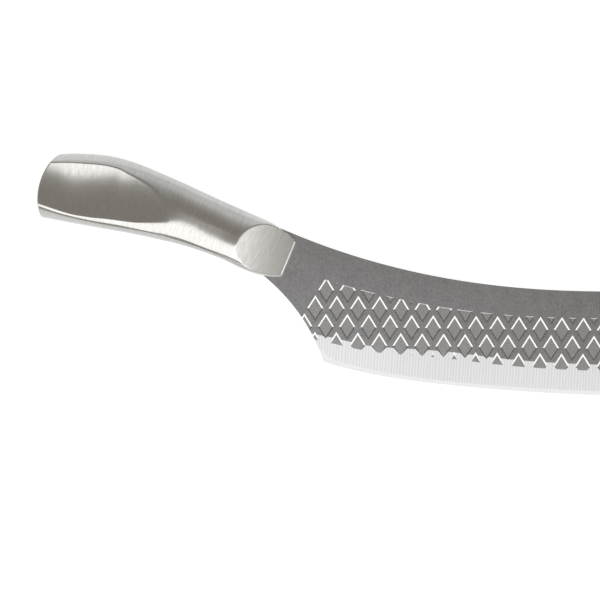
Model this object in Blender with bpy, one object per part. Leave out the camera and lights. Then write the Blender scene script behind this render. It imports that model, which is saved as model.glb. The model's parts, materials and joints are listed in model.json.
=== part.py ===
"""Cheese knife with a curved, diamond-pocketed blade and a welded hollow steel handle.

Every length is in metres and +Z is up. The knife is drawn flat in its own plan: the plan's origin is the
middle of the bolster's front face, X runs towards the tip, Y towards the spine and Z through the blade's
thickness. The handle is drawn along its axis, which starts at that origin and runs back to the butt. An empty
then tips the finished knife until it lies on its left side: on one point of the handle and two of the blade.
"""
import math

import bmesh
import bpy
from mathutils import Vector
from mathutils.geometry import interpolate_bezier

# Gap between pieces that touch: on the real knife they are welded, or bedded in cement
GAP = 0.0003

# Blade: places along X from the bolster's front face, and drops below the handle's axis there
BLADE_THICKNESS = 0.0022
BLADE_LENGTH = 0.1982
TIP_DROP = 0.0106
SPINE_LOW_AT = 0.1410
SPINE_LOW_DROP = 0.0143
HEEL_AT = 0.0149
HEEL_DROP = 0.0450
EDGE_TURN_AT = 0.0310
EDGE_TURN_DROP = 0.0496
EDGE_LOW_AT = 0.1542
EDGE_LOW_DROP = 0.0602

# Directions of the blade's outline, as rise over run, and how far each one carries its curve
SPINE_START_SLOPE = -0.44
SPINE_START_REACH = 0.0621
SPINE_LOW_REACH = 0.0355
TIP_SPINE_SLOPE = 0.12
TIP_SPINE_REACH = 0.020
HEEL_START_SLOPE = -0.80
HEEL_START_REACH = 0.0231
HEEL_END_SLOPE = -3.0
HEEL_END_REACH = 0.0085
CORNER_SLOPE = -0.58
CORNER_REACH = 0.0025
CORNER_END_REACH = 0.0070
EDGE_TURN_SLOPE = -0.235
EDGE_TURN_REACH = 0.0240
EDGE_LOW_REACH = 0.0420
BELLY_REACH = 0.0250
TIP_BELLY_SLOPE = 2.7
TIP_BELLY_REACH = 0.0262

# Ground bevels, each on both sides: the primary one's height at places along X, joined by a smooth curve, and
# the secondary one's slope to the middle plane, which meets the primary one where both are equally thick
PRIMARY_HEIGHT = 0.0134
PRIMARY_HEIGHT_LINE = ((0.0, 0.0105), (0.018, 0.0110), (0.033, 0.0120), (0.051, 0.0137), (0.063, 0.0144),
                       (0.071, 0.0145), (0.088, 0.0139), (0.102, 0.0135), (0.127, PRIMARY_HEIGHT))
PRIMARY_FOOT_THICKNESS = 0.00034
SECONDARY_SLOPE = 0.138
SECONDARY_CUT_HEIGHT = 0.0058
EDGE_LAND = 0.0001

# Diamond pockets pressed into both sides, in staggered rows
POCKET_DEPTH = 0.00019
POCKET_HALF_WIDTH = 0.0036
POCKET_HALF_HEIGHT = 0.0057
POCKET_WALL_RUN = 0.00062
LATTICE_PITCH = 0.00944
LATTICE_ROW_PITCH = 0.0080
LATTICE_TURN = math.radians(-0.8)
LATTICE_AT = 0.0583
LATTICE_DROP = 0.0384
LATTICE_TOP_AT = 0.0161
LATTICE_TOP_DROP = 0.0092
LATTICE_TOP_SLOPE = -0.30
LATTICE_TOP_REACH = 0.0504
LATTICE_CORNER_RUN = 0.0021
LATTICE_LOW_DROP = 0.0261
LATTICE_LOW_REACH = 0.0428
LATTICE_TIP_MARGIN = 0.030

# Tang: the blade's full-height shoulder, and the stub that goes on into the handle, both ground thinner
TANG_THICKNESS = 0.0020
SHOULDER_DEPTH = 0.0090
SHOULDER_TOP = 0.01095
SHOULDER_BOTTOM = 0.0108
TANG_LENGTH = 0.050
TANG_HEIGHT = 0.0120
TANG_END_HEIGHT = 0.0090

# Handle axis: straight behind the blade, then bent down in one large arc
AXIS_LEAN = math.radians(22.6)
AXIS_STRAIGHT = 0.0410
AXIS_BEND_RADIUS = 0.2140

# Handle: places along its axis, counted back from the bolster's front face
HANDLE_LENGTH = 0.1148
BOLSTER_LENGTH = 0.0245
CEMENT_END = 0.0600
SHELL_WALL = 0.0012
BUTT_RADIUS = 0.0260
BUTT_CENTRE_DROP = 0.0030
BUTT_ARC = math.radians(84)
BUTT_WALL = 0.0020

# Hollow-ground facet on each side of the bolster
FACET_RADIUS = 0.080
FACET_LENGTH = 0.0237
BOLSTER_FRONT_THICKNESS = 0.0060

# Concave radius of the scallop ground into each side of the grip
SCALLOP_RADIUS = 0.085

# Slope of the strip under the handle where it leaves the sides, from which it curves to level in the middle
KEEL_SLOPE = 1.25

# The handle's widths at the places where they change
NECK_HALF_THICKNESS = 0.0083
WAIST_HALF_THICKNESS = 0.0087
SWELL_HALF_THICKNESS = 0.0128
BUTT_HALF_THICKNESS = 0.0134
FRONT_TOP = 0.0078
NECK_TOP = 0.0120
SWELL_TOP = 0.01675
BUTT_TOP = 0.0124
FRONT_BOTTOM = 0.0083
NECK_BOTTOM = 0.01145
SWELL_BOTTOM = 0.01515
BUTT_BOTTOM = 0.0133
SWELL_AT = 0.0835

# Lines of the handle, each as places along the axis and the size there, joined by smooth curves
TOP_LINE = ((0.0, FRONT_TOP), (0.003, 0.0094), (0.0075, 0.0105), (0.013, 0.0116), (0.028, NECK_TOP),
            (0.044, 0.0125), (0.060, 0.01395), (SWELL_AT, SWELL_TOP), (0.100, 0.01575),
            (0.108, 0.0145), (HANDLE_LENGTH, BUTT_TOP))
BOTTOM_LINE = ((0.0, FRONT_BOTTOM), (0.003, 0.0100), (0.0075, 0.0111), (0.013, 0.01195), (0.020, 0.01195),
               (0.028, NECK_BOTTOM), (0.044, 0.0123), (0.060, 0.01385), (SWELL_AT, SWELL_BOTTOM),
               (0.100, 0.01487), (HANDLE_LENGTH, BUTT_BOTTOM))
SIDE_LINE = ((0.0, NECK_HALF_THICKNESS), (0.028, NECK_HALF_THICKNESS), (0.044, WAIST_HALF_THICKNESS),
             (0.060, 0.0101), (SWELL_AT, SWELL_HALF_THICKNESS), (HANDLE_LENGTH, BUTT_HALF_THICKNESS))
UPPER_SQUARENESS_LINE = ((0.0, 3.2), (0.012, 3.2), (0.020, 2.4), (0.026, 2.0), (0.040, 2.1), (0.050, 2.3),
                         (0.055, 2.6), (0.062, 2.9), (0.068, 2.95), (0.075, 2.75), (SWELL_AT, 2.5), (0.104, 2.5),
                         (0.110, 2.75), (HANDLE_LENGTH, 3.1))
LOWER_SQUARENESS_LINE = ((0.0, 3.2), (0.016, 3.0), (0.022, 3.0), (0.028, 3.5), (0.036, 3.6), (0.044, 3.1),
                         (0.050, 3.0), (0.057, 3.3), (0.063, 3.9), (0.070, 4.0), (0.078, 4.1), (0.086, 4.4),
                         (0.096, 4.4), (0.104, 4.0), (0.110, 3.3), (HANDLE_LENGTH, 2.7))
LEAN_LINE = ((0.0, 0.0), (0.046, 0.0), (0.050, 0.01), (0.054, 0.05), (0.057, 0.12), (0.060, 0.14), (0.063, 0.125),
             (0.066, 0.112), (0.070, 0.09), (0.075, 0.045), (0.080, -0.02), (0.086, -0.065), (0.095, -0.08),
             (0.103, -0.085), (0.109, -0.055), (HANDLE_LENGTH, -0.025))
KEEL_LINE = ((0.0, 0.0009), (0.0245, 0.0012), (0.044, 0.0018), (0.058, 0.0024), (SWELL_AT, 0.0022),
             (0.105, 0.0032), (HANDLE_LENGTH, 0.0047))

# Width left above and below the scallop, which narrows to nothing at its front end
SCALLOP_START = 0.0558
TOP_RIM_LINE = ((SCALLOP_START, 0.0164), (0.0579, 0.0129), (0.0612, 0.0102), (0.0658, 0.0077), (0.0702, 0.0066),
                (0.0778, 0.0055), (0.0822, 0.0046), (0.100, 0.0043), (0.108, 0.0037), (HANDLE_LENGTH, 0.0024))
BOTTOM_RIM_LINE = ((SCALLOP_START, 0.0106), (0.0579, 0.0091), (0.0631, 0.0068), (0.0694, 0.0050),
                   (SWELL_AT, 0.0041), (0.0911, 0.00355), (0.100, 0.0035), (HANDLE_LENGTH, 0.0054))

# How finely curved surfaces are divided
RING_SPACING = 0.0029
TOP_STEPS = 5
SIDE_STEPS = 7
FLANK_STEPS = 2
KEEL_SHARES = (0.7, 0.0)
LEAST_SIDE_HALF = 0.0028
LEAST_TOP_SHARE = 0.15
CURVE_STEPS = 16
FACET_SIDES = 256
FRONT_RING_PLACES = (0.0015, 0.003)
SCALLOP_RING_PLACES = (SCALLOP_START, 0.0579, 0.0822)
SMOOTH_ANGLE = math.radians(25)
MERGE_DISTANCE = 1e-7
WELD_DISTANCE = 1e-6

# How far a cutter runs past what it cuts, and the thickness of one that cuts right through the knife
OVERSHOOT = 0.004
CUT_THROUGH = 0.060

# Stainless steel is a little warmer than grey
STEEL_TINT = (1.0, 0.985, 0.96)

# Where the knife touches the table: the scallop's lower edge, and the blade's flat beside the belly, at a share
# of the belly's curve and one step further on
REST_HANDLE_AT = 0.0732
REST_BELLY_SHARE = 0.50


def clear_scene():
    """Remove what a new Blender file holds."""
    for old in list(bpy.data.objects):
        bpy.data.objects.remove(old, do_unlink=True)


def collection(name):
    """Make a collection in the scene."""
    made = bpy.data.collections.new(name)
    bpy.context.scene.collection.children.link(made)
    return made


def steel(name, shade, roughness):
    """Make a bare stainless steel of a grey shade."""
    return material(name, [shade * share for share in STEEL_TINT], roughness, 1.0)


def material(name, colour, roughness, metallic):
    """Make a Principled material."""
    made = bpy.data.materials.new(name)
    made.use_nodes = True
    shader = made.node_tree.nodes["Principled BSDF"]
    shader.inputs["Base Color"].default_value = (*colour, 1.0)
    shader.inputs["Roughness"].default_value = roughness
    shader.inputs["Metallic"].default_value = metallic
    made.diffuse_color = (*colour, 1.0)
    return made


def add_object(name, mesh, group):
    """Make an object of a mesh and put it in a collection."""
    made = bpy.data.objects.new(name, mesh)
    group.objects.link(made)
    return made


def as_cutter(piece):
    """Hide a tool shape, which only cuts other pieces."""
    piece.hide_render = True
    piece.display_type = "WIRE"
    return piece


def cut(piece, tool, operation="DIFFERENCE", solver="EXACT"):
    """Cut a piece with a tool shape."""
    step = piece.modifiers.new(tool.name, "BOOLEAN")
    step.operation = operation
    step.solver = solver
    step.object = tool


def weld(piece):
    """Merge the points that many cuts through one edge leave on top of each other."""
    step = piece.modifiers.new("weld", "WELD")
    step.merge_threshold = WELD_DISTANCE


def smooth_shade(piece):
    """Shade a piece smooth, apart from its sharp edges."""
    piece.data.shade_smooth()
    piece.data.set_sharp_from_angle(angle=SMOOTH_ANGLE)


def smooth_line(stations, place):
    """Read a line at a place: a smooth curve through its stations, level past both ends."""
    places = [station[0] for station in stations]
    sizes = [station[1] for station in stations]
    last = len(stations) - 1
    if place <= places[0]:
        return sizes[0]
    if place >= places[last]:
        return sizes[last]
    index = max(i for i in range(last) if places[i] <= place)

    def slope(i):
        before = max(i - 1, 0)
        after = min(i + 1, last)
        return (sizes[after] - sizes[before]) / (places[after] - places[before])

    width = places[index + 1] - places[index]
    t = (place - places[index]) / width
    return ((2 * t ** 3 - 3 * t ** 2 + 1) * sizes[index]
            + (t ** 3 - 2 * t ** 2 + t) * width * slope(index)
            + (3 * t ** 2 - 2 * t ** 3) * sizes[index + 1]
            + (t ** 3 - t ** 2) * width * slope(index + 1))


def axis_frame(place):
    """Give the handle axis at a place behind the bolster's front: point, forward direction, up direction."""
    bent = max(place - AXIS_STRAIGHT, 0.0) / AXIS_BEND_RADIUS
    lean = AXIS_LEAN - bent
    forward = Vector((math.cos(lean), -math.sin(lean)))
    up = Vector((math.sin(lean), math.cos(lean)))
    straight = Vector((math.cos(AXIS_LEAN), -math.sin(AXIS_LEAN)))
    point = -straight * min(place, AXIS_STRAIGHT)
    chord_lean = AXIS_LEAN - bent / 2
    chord = 2 * AXIS_BEND_RADIUS * math.sin(bent / 2)
    point -= Vector((math.cos(chord_lean), -math.sin(chord_lean))) * chord
    return point, forward, up


def handle_point(place, height):
    """Turn a place along the handle and a height above its axis into a plan point."""
    point, _, up = axis_frame(place)
    return point + up * height


def blank_thickness(place, height):
    """Give the half thickness of the handle's rounded blank, before the scallop."""
    reach = smooth_line(TOP_LINE if height > 0 else BOTTOM_LINE, place)
    squareness = smooth_line(UPPER_SQUARENESS_LINE if height > 0 else LOWER_SQUARENESS_LINE, place)
    share = min(abs(height) / reach, 1.0)
    leaning = 1 - smooth_line(LEAN_LINE, place) * height / reach
    return smooth_line(SIDE_LINE, place) * (1 - share ** squareness) ** (1 / squareness) * leaning


def scallop_edges(place):
    """Give the heights of the scallop's upper and lower edges."""
    upper = smooth_line(TOP_LINE, place) - smooth_line(TOP_RIM_LINE, place)
    lower = smooth_line(BOTTOM_RIM_LINE, place) - smooth_line(BOTTOM_LINE, place)
    return upper, lower


def half_thickness(place, height):
    """Give the handle's half thickness at a height, with the scallop ground in."""
    blank = blank_thickness(place, height)
    upper, lower = scallop_edges(place)
    if place <= SCALLOP_START or not lower < height < upper:
        return blank
    share = (height - lower) / (upper - lower)
    chord = (1 - share) * blank_thickness(place, lower) + share * blank_thickness(place, upper)
    half_width = (upper - lower) / 2
    off_middle = height - (upper + lower) / 2
    hollow = (math.sqrt(SCALLOP_RADIUS ** 2 - off_middle ** 2)
              - math.sqrt(SCALLOP_RADIUS ** 2 - half_width ** 2))
    return min(blank, chord - hollow)


def half_section(place):
    """Give the handle's right half section, top to bottom, as thickness and height."""
    top = smooth_line(TOP_LINE, place)
    bottom = -smooth_line(BOTTOM_LINE, place)
    keel = bottom + smooth_line(KEEL_LINE, place)
    upper, lower = scallop_edges(place)
    middle = (upper + lower) / 2
    half_width = max((upper - lower) / 2, LEAST_SIDE_HALF)
    upper = max(middle + half_width, top * LEAST_TOP_SHARE)
    lower = max(middle - half_width, keel + GAP)

    squareness = smooth_line(UPPER_SQUARENESS_LINE, place)
    shoulder_angle = math.acos((upper / top) ** (squareness / 2))
    heights = [top * math.cos(shoulder_angle * i / TOP_STEPS) ** (2 / squareness) for i in range(TOP_STEPS)]
    heights += [upper + (lower - upper) * i / SIDE_STEPS for i in range(SIDE_STEPS)]
    heights += [lower + (keel - lower) * i / FLANK_STEPS for i in range(FLANK_STEPS + 1)]
    section = [(half_thickness(place, height), height) for height in heights]
    keel_thickness = section[-1][0]
    keel_power = KEEL_SLOPE * keel_thickness / (keel - bottom)
    for share in KEEL_SHARES:
        section.append((keel_thickness * share, bottom + (keel - bottom) * share ** keel_power))
    return section


def inset_section(section, inset):
    """Shrink a half section until its top, bottom and widest side lie one wall inside the surface."""
    widest = max(thickness for thickness, _ in section)
    top = section[0][1]
    bottom = -section[-1][1]
    shrunk = []
    for thickness, height in section:
        reach = top if height > 0 else bottom
        shrunk.append((thickness * (1 - inset / widest), height * (1 - inset / reach)))
    return shrunk


def full_ring(place, inset=0.0):
    """Give the handle's whole section at a place as a closed ring of points."""
    section = inset_section(half_section(place), inset)
    right = [Vector((*handle_point(place, height), thickness)) for thickness, height in section]
    left = [Vector((point.x, point.y, -point.z)) for point in reversed(right[1:-1])]
    return right + left


def side_ring(place, side):
    """Give one half of the handle's section, cut off just short of the blade's middle plane."""
    return [Vector((*handle_point(place, height), side * max(thickness, GAP / 2)))
            for thickness, height in half_section(place)]


def places_between(start, end, extra=()):
    """Spread places for rings between two ends, keeping some extra places of their own."""
    count = max(math.ceil((end - start) / RING_SPACING), 2)
    places = [start + (end - start) * i / count for i in range(count + 1)]
    kept = [place for place in places if all(abs(place - other) > RING_SPACING / 3 for other in extra)]
    return sorted(set(kept) | {other for other in extra if start < other < end} | {start, end})


def loft(name, rings, group):
    """Skin a row of rings that have the same number of points, and close both ends."""
    mesh = bmesh.new()
    loops = [[mesh.verts.new(point) for point in ring] for ring in rings]
    count = len(loops[0])
    for near, far in zip(loops, loops[1:]):
        for i in range(count):
            following = (i + 1) % count
            mesh.faces.new((near[i], near[following], far[following], far[i]))
    mesh.faces.new(reversed(loops[0]))
    mesh.faces.new(loops[-1])
    bmesh.ops.remove_doubles(mesh, verts=mesh.verts, dist=MERGE_DISTANCE)
    bmesh.ops.recalc_face_normals(mesh, faces=mesh.faces)
    data = bpy.data.meshes.new(name)
    mesh.to_mesh(data)
    mesh.free()
    return add_object(name, data, group)


def plate(name, outline, thickness, group):
    """Make a flat plate of an outline, centred on the blade's middle plane."""
    drawing = bpy.data.curves.new(name, "CURVE")
    drawing.dimensions = "2D"
    drawing.fill_mode = "BOTH"
    drawing.extrude = thickness / 2
    spline = drawing.splines.new("POLY")
    spline.points.add(len(outline) - 1)
    for point, place in zip(spline.points, outline):
        point.co = (place[0], place[1], 0.0, 1.0)
    spline.use_cyclic_u = True
    drawn = bpy.data.objects.new(name + "_drawing", drawing)
    group.objects.link(drawn)
    bpy.context.view_layer.update()
    evaluated = drawn.evaluated_get(bpy.context.evaluated_depsgraph_get())
    data = bpy.data.meshes.new_from_object(evaluated)
    bpy.data.objects.remove(drawn, do_unlink=True)
    mesh = bmesh.new()
    mesh.from_mesh(data)
    bmesh.ops.remove_doubles(mesh, verts=mesh.verts, dist=MERGE_DISTANCE)
    bmesh.ops.recalc_face_normals(mesh, faces=mesh.faces)
    mesh.to_mesh(data)
    mesh.free()
    data.name = name
    return add_object(name, data, group)


def direction(slope):
    """Give the direction towards the tip that rises by a slope."""
    return Vector((1.0, slope)).normalized()


def curve(start, start_slope, start_reach, end, end_slope, end_reach):
    """Draw a smooth curve towards the tip between two points, leaving and arriving at given slopes."""
    points = interpolate_bezier(start, start + direction(start_slope) * start_reach,
                                end - direction(end_slope) * end_reach, end, CURVE_STEPS + 1)
    return [Vector(point[:2]) for point in points]


SPINE_START = handle_point(SHOULDER_DEPTH, SHOULDER_TOP)
SPINE_LOW = Vector((SPINE_LOW_AT, -SPINE_LOW_DROP))
TIP = Vector((BLADE_LENGTH, -TIP_DROP))
HEEL_START = handle_point(SHOULDER_DEPTH, -SHOULDER_BOTTOM)
HEEL_CORNER = Vector((HEEL_AT, -HEEL_DROP))
EDGE_TURN = Vector((EDGE_TURN_AT, -EDGE_TURN_DROP))
EDGE_LOW = Vector((EDGE_LOW_AT, -EDGE_LOW_DROP))


def spine_curve():
    """Draw the blade's back, from its shoulder to the tip."""
    sweep = curve(SPINE_START, SPINE_START_SLOPE, SPINE_START_REACH, SPINE_LOW, 0.0, SPINE_LOW_REACH)
    rise = curve(SPINE_LOW, 0.0, TIP_SPINE_REACH, TIP, TIP_SPINE_SLOPE, TIP_SPINE_REACH)
    return sweep + rise[1:]


def heel_curve():
    """Draw the notch behind the heel, from the shoulder to the heel's corner."""
    return curve(HEEL_START, HEEL_START_SLOPE, HEEL_START_REACH, HEEL_CORNER, HEEL_END_SLOPE, HEEL_END_REACH)


def corner_curve():
    """Draw the rounded start of the cutting edge."""
    return curve(HEEL_CORNER, CORNER_SLOPE, CORNER_REACH, EDGE_TURN, EDGE_TURN_SLOPE, CORNER_END_REACH)


def long_edge_curve():
    """Draw the rest of the cutting edge: its long flat sweep."""
    return curve(EDGE_TURN, EDGE_TURN_SLOPE, EDGE_TURN_REACH, EDGE_LOW, 0.0, EDGE_LOW_REACH)


def belly_curve():
    """Draw the belly of the cutting edge, which rises to the tip."""
    return curve(EDGE_LOW, 0.0, BELLY_REACH, TIP, TIP_BELLY_SLOPE, TIP_BELLY_REACH)


def tang_outline(front, grown=0.0):
    """Draw the stub tang from a place in front of its end, or the room around it."""
    end = TANG_LENGTH + grown
    upper = []
    lower = []
    for place in (front, (front + end) / 2, end):
        share = (place - SHOULDER_DEPTH) / (TANG_LENGTH - SHOULDER_DEPTH)
        half = (TANG_HEIGHT + (TANG_END_HEIGHT - TANG_HEIGHT) * share) / 2 + grown
        upper.append(handle_point(place, half))
        lower.append(handle_point(place, -half))
    return upper + list(reversed(lower))


def behind_front(start, end):
    """Draw a four-sided area across the handle between two places, taller than the handle."""
    reach = CUT_THROUGH / 2
    return [handle_point(start, reach), handle_point(start, -reach), handle_point(end, -reach),
            handle_point(end, reach)]


def blade_outline():
    """Draw the whole blade with its tang, as one closed outline."""
    edge = corner_curve() + long_edge_curve()[1:] + belly_curve()[1:]
    return (spine_curve() + list(reversed(edge))[1:] + list(reversed(heel_curve()))[1:]
            + list(reversed(tang_outline(SHOULDER_DEPTH))))


def extended(path, before, after):
    """Lengthen a path straight on at both ends."""
    first = path[0] - (path[1] - path[0]).normalized() * before
    last = path[-1] + (path[-1] - path[-2]).normalized() * after
    return [first] + path + [last]


def sweep(name, profiles, path, group):
    """Sweep a profile of inward distances and heights for each point of a path, whose inside is on its left."""
    rings = []
    for i, (point, profile) in enumerate(zip(path, profiles)):
        before = path[max(i - 1, 0)]
        after = path[min(i + 1, len(path) - 1)]
        along = (after - before).normalized()
        inward = Vector((-along.y, along.x))
        rings.append([Vector((*(point + inward * inside), height)) for inside, height in profile])
    return loft(name, rings, group)


def bevel_cutter(name, path, foot_thickness, slopes, reach, side, group):
    """Make the wedge that grinds one bevel: it rises inwards from its foot, by a slope for each path point."""
    foot = foot_thickness / 2
    clear = BLADE_THICKNESS
    profiles = []
    for slope in slopes:
        profile = [(-OVERSHOOT, foot), (0.0, foot), (reach, foot + slope * reach),
                   (reach, clear + slope * reach), (-OVERSHOOT, clear + slope * reach)]
        profiles.append([(inside, side * up) for inside, up in profile])
    return as_cutter(sweep(name, profiles, path, group))


def bevel_cutters(side, group):
    """Make the primary and the secondary bevel's wedges for one side of the blade."""
    name = "right" if side > 0 else "left"
    long_edge = long_edge_curve() + belly_curve()[1:]
    whole_edge = corner_curve() + long_edge[1:]
    primary_path = extended(long_edge, EDGE_LOW_DROP, OVERSHOOT)
    heights = [smooth_line(PRIMARY_HEIGHT_LINE, point.x) for point in primary_path]
    slopes = [(BLADE_THICKNESS - PRIMARY_FOOT_THICKNESS) / 2 / height for height in heights]
    primary = bevel_cutter("primary_bevel_" + name, primary_path, PRIMARY_FOOT_THICKNESS, slopes,
                           max(heights) + OVERSHOOT / 2, side, group)
    secondary_path = extended(whole_edge, OVERSHOOT, OVERSHOOT)
    secondary = bevel_cutter("secondary_bevel_" + name, secondary_path, EDGE_LAND,
                             [SECONDARY_SLOPE] * len(secondary_path), SECONDARY_CUT_HEIGHT, side, group)
    return primary, secondary


def pocket_centres():
    """List the middles of the diamond pockets, over the whole area that the lattice can cover."""
    along = Vector((math.cos(LATTICE_TURN), math.sin(LATTICE_TURN)))
    across = Vector((-along.y, along.x))
    origin = Vector((LATTICE_AT, -LATTICE_DROP))
    centres = []
    rows_up = math.ceil((LATTICE_DROP - LATTICE_TOP_DROP) / LATTICE_ROW_PITCH)
    rows_down = math.ceil((EDGE_LOW_DROP - LATTICE_DROP) / LATTICE_ROW_PITCH)
    columns = math.ceil(BLADE_LENGTH / LATTICE_PITCH)
    for row in range(-rows_down, rows_up + 1):
        stagger = (row % 2) / 2
        for column in range(-columns, columns + 1):
            offset = along * (column + stagger) * LATTICE_PITCH + across * row * LATTICE_ROW_PITCH
            centres.append(origin + offset)
    return centres


def lattice_zone():
    """Draw the area of the pockets: a line under the spine, and the lattice's own diagonal at the heel."""
    start = Vector((LATTICE_TOP_AT, -LATTICE_TOP_DROP))
    low = Vector((SPINE_LOW_AT, -LATTICE_LOW_DROP))
    top = curve(start, LATTICE_TOP_SLOPE, LATTICE_TOP_REACH, low, 0.0, LATTICE_LOW_REACH)
    end = BLADE_LENGTH - LATTICE_TIP_MARGIN
    corner = start - Vector((LATTICE_CORNER_RUN, 0.0))
    rows_down = (EDGE_LOW_DROP - LATTICE_TOP_DROP) / LATTICE_ROW_PITCH
    foot = corner - Vector((LATTICE_PITCH / 2, LATTICE_ROW_PITCH)) * rows_down
    return [corner] + top + [Vector((end, -LATTICE_LOW_DROP)), Vector((end, -EDGE_LOW_DROP)), foot]


def on_blade(centre):
    """Say whether a pocket's middle lies where it could touch the blade's flat."""
    spine = spine_curve()
    edge = corner_curve() + long_edge_curve()[1:] + belly_curve()[1:]
    if not HEEL_START.x < centre.x < BLADE_LENGTH - LATTICE_TIP_MARGIN + POCKET_HALF_WIDTH:
        return False
    above = min(spine, key=lambda point: abs(point.x - centre.x)).y
    below = min(edge, key=lambda point: abs(point.x - centre.x)).y
    return below - POCKET_HALF_HEIGHT < centre.y < above


def add_pocket(mesh, centre, side):
    """Add one pocket's tapered diamond to the mesh of the pocket cutter."""
    inradius = POCKET_HALF_WIDTH * POCKET_HALF_HEIGHT / math.hypot(POCKET_HALF_WIDTH, POCKET_HALF_HEIGHT)
    floor_scale = 1 - POCKET_WALL_RUN / inradius
    mouth_scale = 1 + POCKET_WALL_RUN / inradius
    along = Vector((math.cos(LATTICE_TURN), math.sin(LATTICE_TURN)))
    across = Vector((-along.y, along.x))
    rings = []
    for scale, depth in ((floor_scale, POCKET_DEPTH), (mouth_scale, -POCKET_DEPTH)):
        height = side * (BLADE_THICKNESS / 2 - depth)
        corners = (along * POCKET_HALF_WIDTH, across * POCKET_HALF_HEIGHT,
                   -along * POCKET_HALF_WIDTH, -across * POCKET_HALF_HEIGHT)
        rings.append([mesh.verts.new((*(centre + corner * scale), height)) for corner in corners])
    floor, mouth = rings
    for i in range(4):
        following = (i + 1) % 4
        mesh.faces.new((floor[i], floor[following], mouth[following], mouth[i]))
    mesh.faces.new(floor)
    mesh.faces.new(reversed(mouth))


def pocket_cutter(side, group):
    """Make the tool that presses one side's pockets: tapered diamonds, trimmed to the lattice's zone."""
    name = "pockets_right" if side > 0 else "pockets_left"
    mesh = bmesh.new()
    for centre in pocket_centres():
        if on_blade(centre):
            add_pocket(mesh, centre, side)
    bmesh.ops.recalc_face_normals(mesh, faces=mesh.faces)
    data = bpy.data.meshes.new(name)
    mesh.to_mesh(data)
    mesh.free()
    tool = as_cutter(add_object(name, data, group))
    zone = as_cutter(plate(name + "_zone", lattice_zone(), CUT_THROUGH, group))
    cut(tool, zone, "INTERSECT")
    return tool


def tang_relief(side, group):
    """Make the tool that grinds one side of the shoulder and the tang thinner than the blade."""
    name = "tang_relief_right" if side > 0 else "tang_relief_left"
    tool = plate(name, behind_front(-GAP, TANG_LENGTH + OVERSHOOT), OVERSHOOT, group)
    tool.location.z = side * (TANG_THICKNESS + OVERSHOOT) / 2
    return as_cutter(tool)


def make_blade(parts, cutters, finish):
    """Make the blade: a plate with ground bevels and pressed pockets on both sides, and a thinner tang."""
    blade = plate("blade", blade_outline(), BLADE_THICKNESS, parts)
    tools = [pocket_cutter(side, cutters) for side in (1, -1)]
    for side in (1, -1):
        tools += bevel_cutters(side, cutters)
        tools.append(tang_relief(side, cutters))
    for tool in tools:
        cut(blade, tool, solver="MANIFOLD")
    weld(blade)
    blade.data.materials.append(finish)
    return blade


def facet_cutter(side, group):
    """Make the grinding wheel that hollows one side facet of the bolster."""
    near = Vector((0.0, BOLSTER_FRONT_THICKNESS / 2))
    far = Vector((FACET_LENGTH, smooth_line(SIDE_LINE, FACET_LENGTH)))
    half_chord = (far - near).length / 2
    away = Vector((near.y - far.y, far.x - near.x)).normalized()
    wheel = (near + far) / 2 + away * math.sqrt(FACET_RADIUS ** 2 - half_chord ** 2)
    _, forward, up = axis_frame(0.0)
    centre = -forward * wheel.x
    bpy.ops.mesh.primitive_cylinder_add(vertices=FACET_SIDES, radius=FACET_RADIUS, depth=CUT_THROUGH,
                                        location=(centre.x, centre.y, side * wheel.y))
    tool = bpy.context.active_object
    tool.name = "facet_wheel_right" if side > 0 else "facet_wheel_left"
    tool.rotation_euler = Vector((up.x, up.y, 0.0)).to_track_quat("Z", "X").to_euler()
    for other in list(tool.users_collection):
        other.objects.unlink(tool)
    group.objects.link(tool)
    return as_cutter(tool)


def shoulder_slot(group):
    """Make the tool that slots the bolster's front for the blade's full-height shoulder."""
    outline = behind_front(-OVERSHOOT, SHOULDER_DEPTH + GAP)
    return as_cutter(plate("shoulder_slot", outline, TANG_THICKNESS + 2 * GAP, group))


def tang_slot(group):
    """Make the tool that clears the tang in the bolster and in its cement."""
    outline = tang_outline(SHOULDER_DEPTH - OVERSHOOT, GAP)
    return as_cutter(plate("tang_slot", outline, TANG_THICKNESS + 2 * GAP, group))


def butt_cutter(name, setback, group):
    """Make the tool that rounds the handle off at the butt, or further in by a setback."""
    point, forward, up = axis_frame(HANDLE_LENGTH - BUTT_RADIUS)
    centre = point - up * BUTT_CENTRE_DROP
    radius = BUTT_RADIUS - setback
    outline = []
    for i in range(2 * CURVE_STEPS + 1):
        angle = BUTT_ARC * (1 - i / CURVE_STEPS)
        outline.append(centre - forward * radius * math.cos(angle) + up * radius * math.sin(angle))
    far = forward * (BUTT_RADIUS * 2)
    outline += [outline[-1] - far, outline[0] - far]
    return as_cutter(plate(name, outline, CUT_THROUGH, group))


def make_bolster(parts, cutters, slot, finish):
    """Make the bolster: the solid front of the handle, slotted for the blade, with a hollow facet each side."""
    rings = [full_ring(place) for place in places_between(0.0, BOLSTER_LENGTH, FRONT_RING_PLACES)]
    bolster = loft("bolster", rings, parts)
    for side in (1, -1):
        cut(bolster, facet_cutter(side, cutters))
    cut(bolster, shoulder_slot(cutters))
    cut(bolster, slot)
    bolster.data.materials.append(finish)
    smooth_shade(bolster)
    return bolster


def make_shell(name, side, parts, hollow, butt, finish):
    """Make one half of the hollow handle."""
    places = places_between(BOLSTER_LENGTH + GAP, HANDLE_LENGTH + OVERSHOOT, SCALLOP_RING_PLACES)
    shell = loft(name, [side_ring(place, side) for place in places], parts)
    cut(shell, butt)
    cut(shell, hollow)
    shell.data.materials.append(finish)
    smooth_shade(shell)
    return shell


def make_core(name, start, end, inset, group):
    """Make a solid that follows the handle's inside, a given inset below its surface."""
    return loft(name, [full_ring(place, inset) for place in places_between(start, end)], group)


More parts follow.
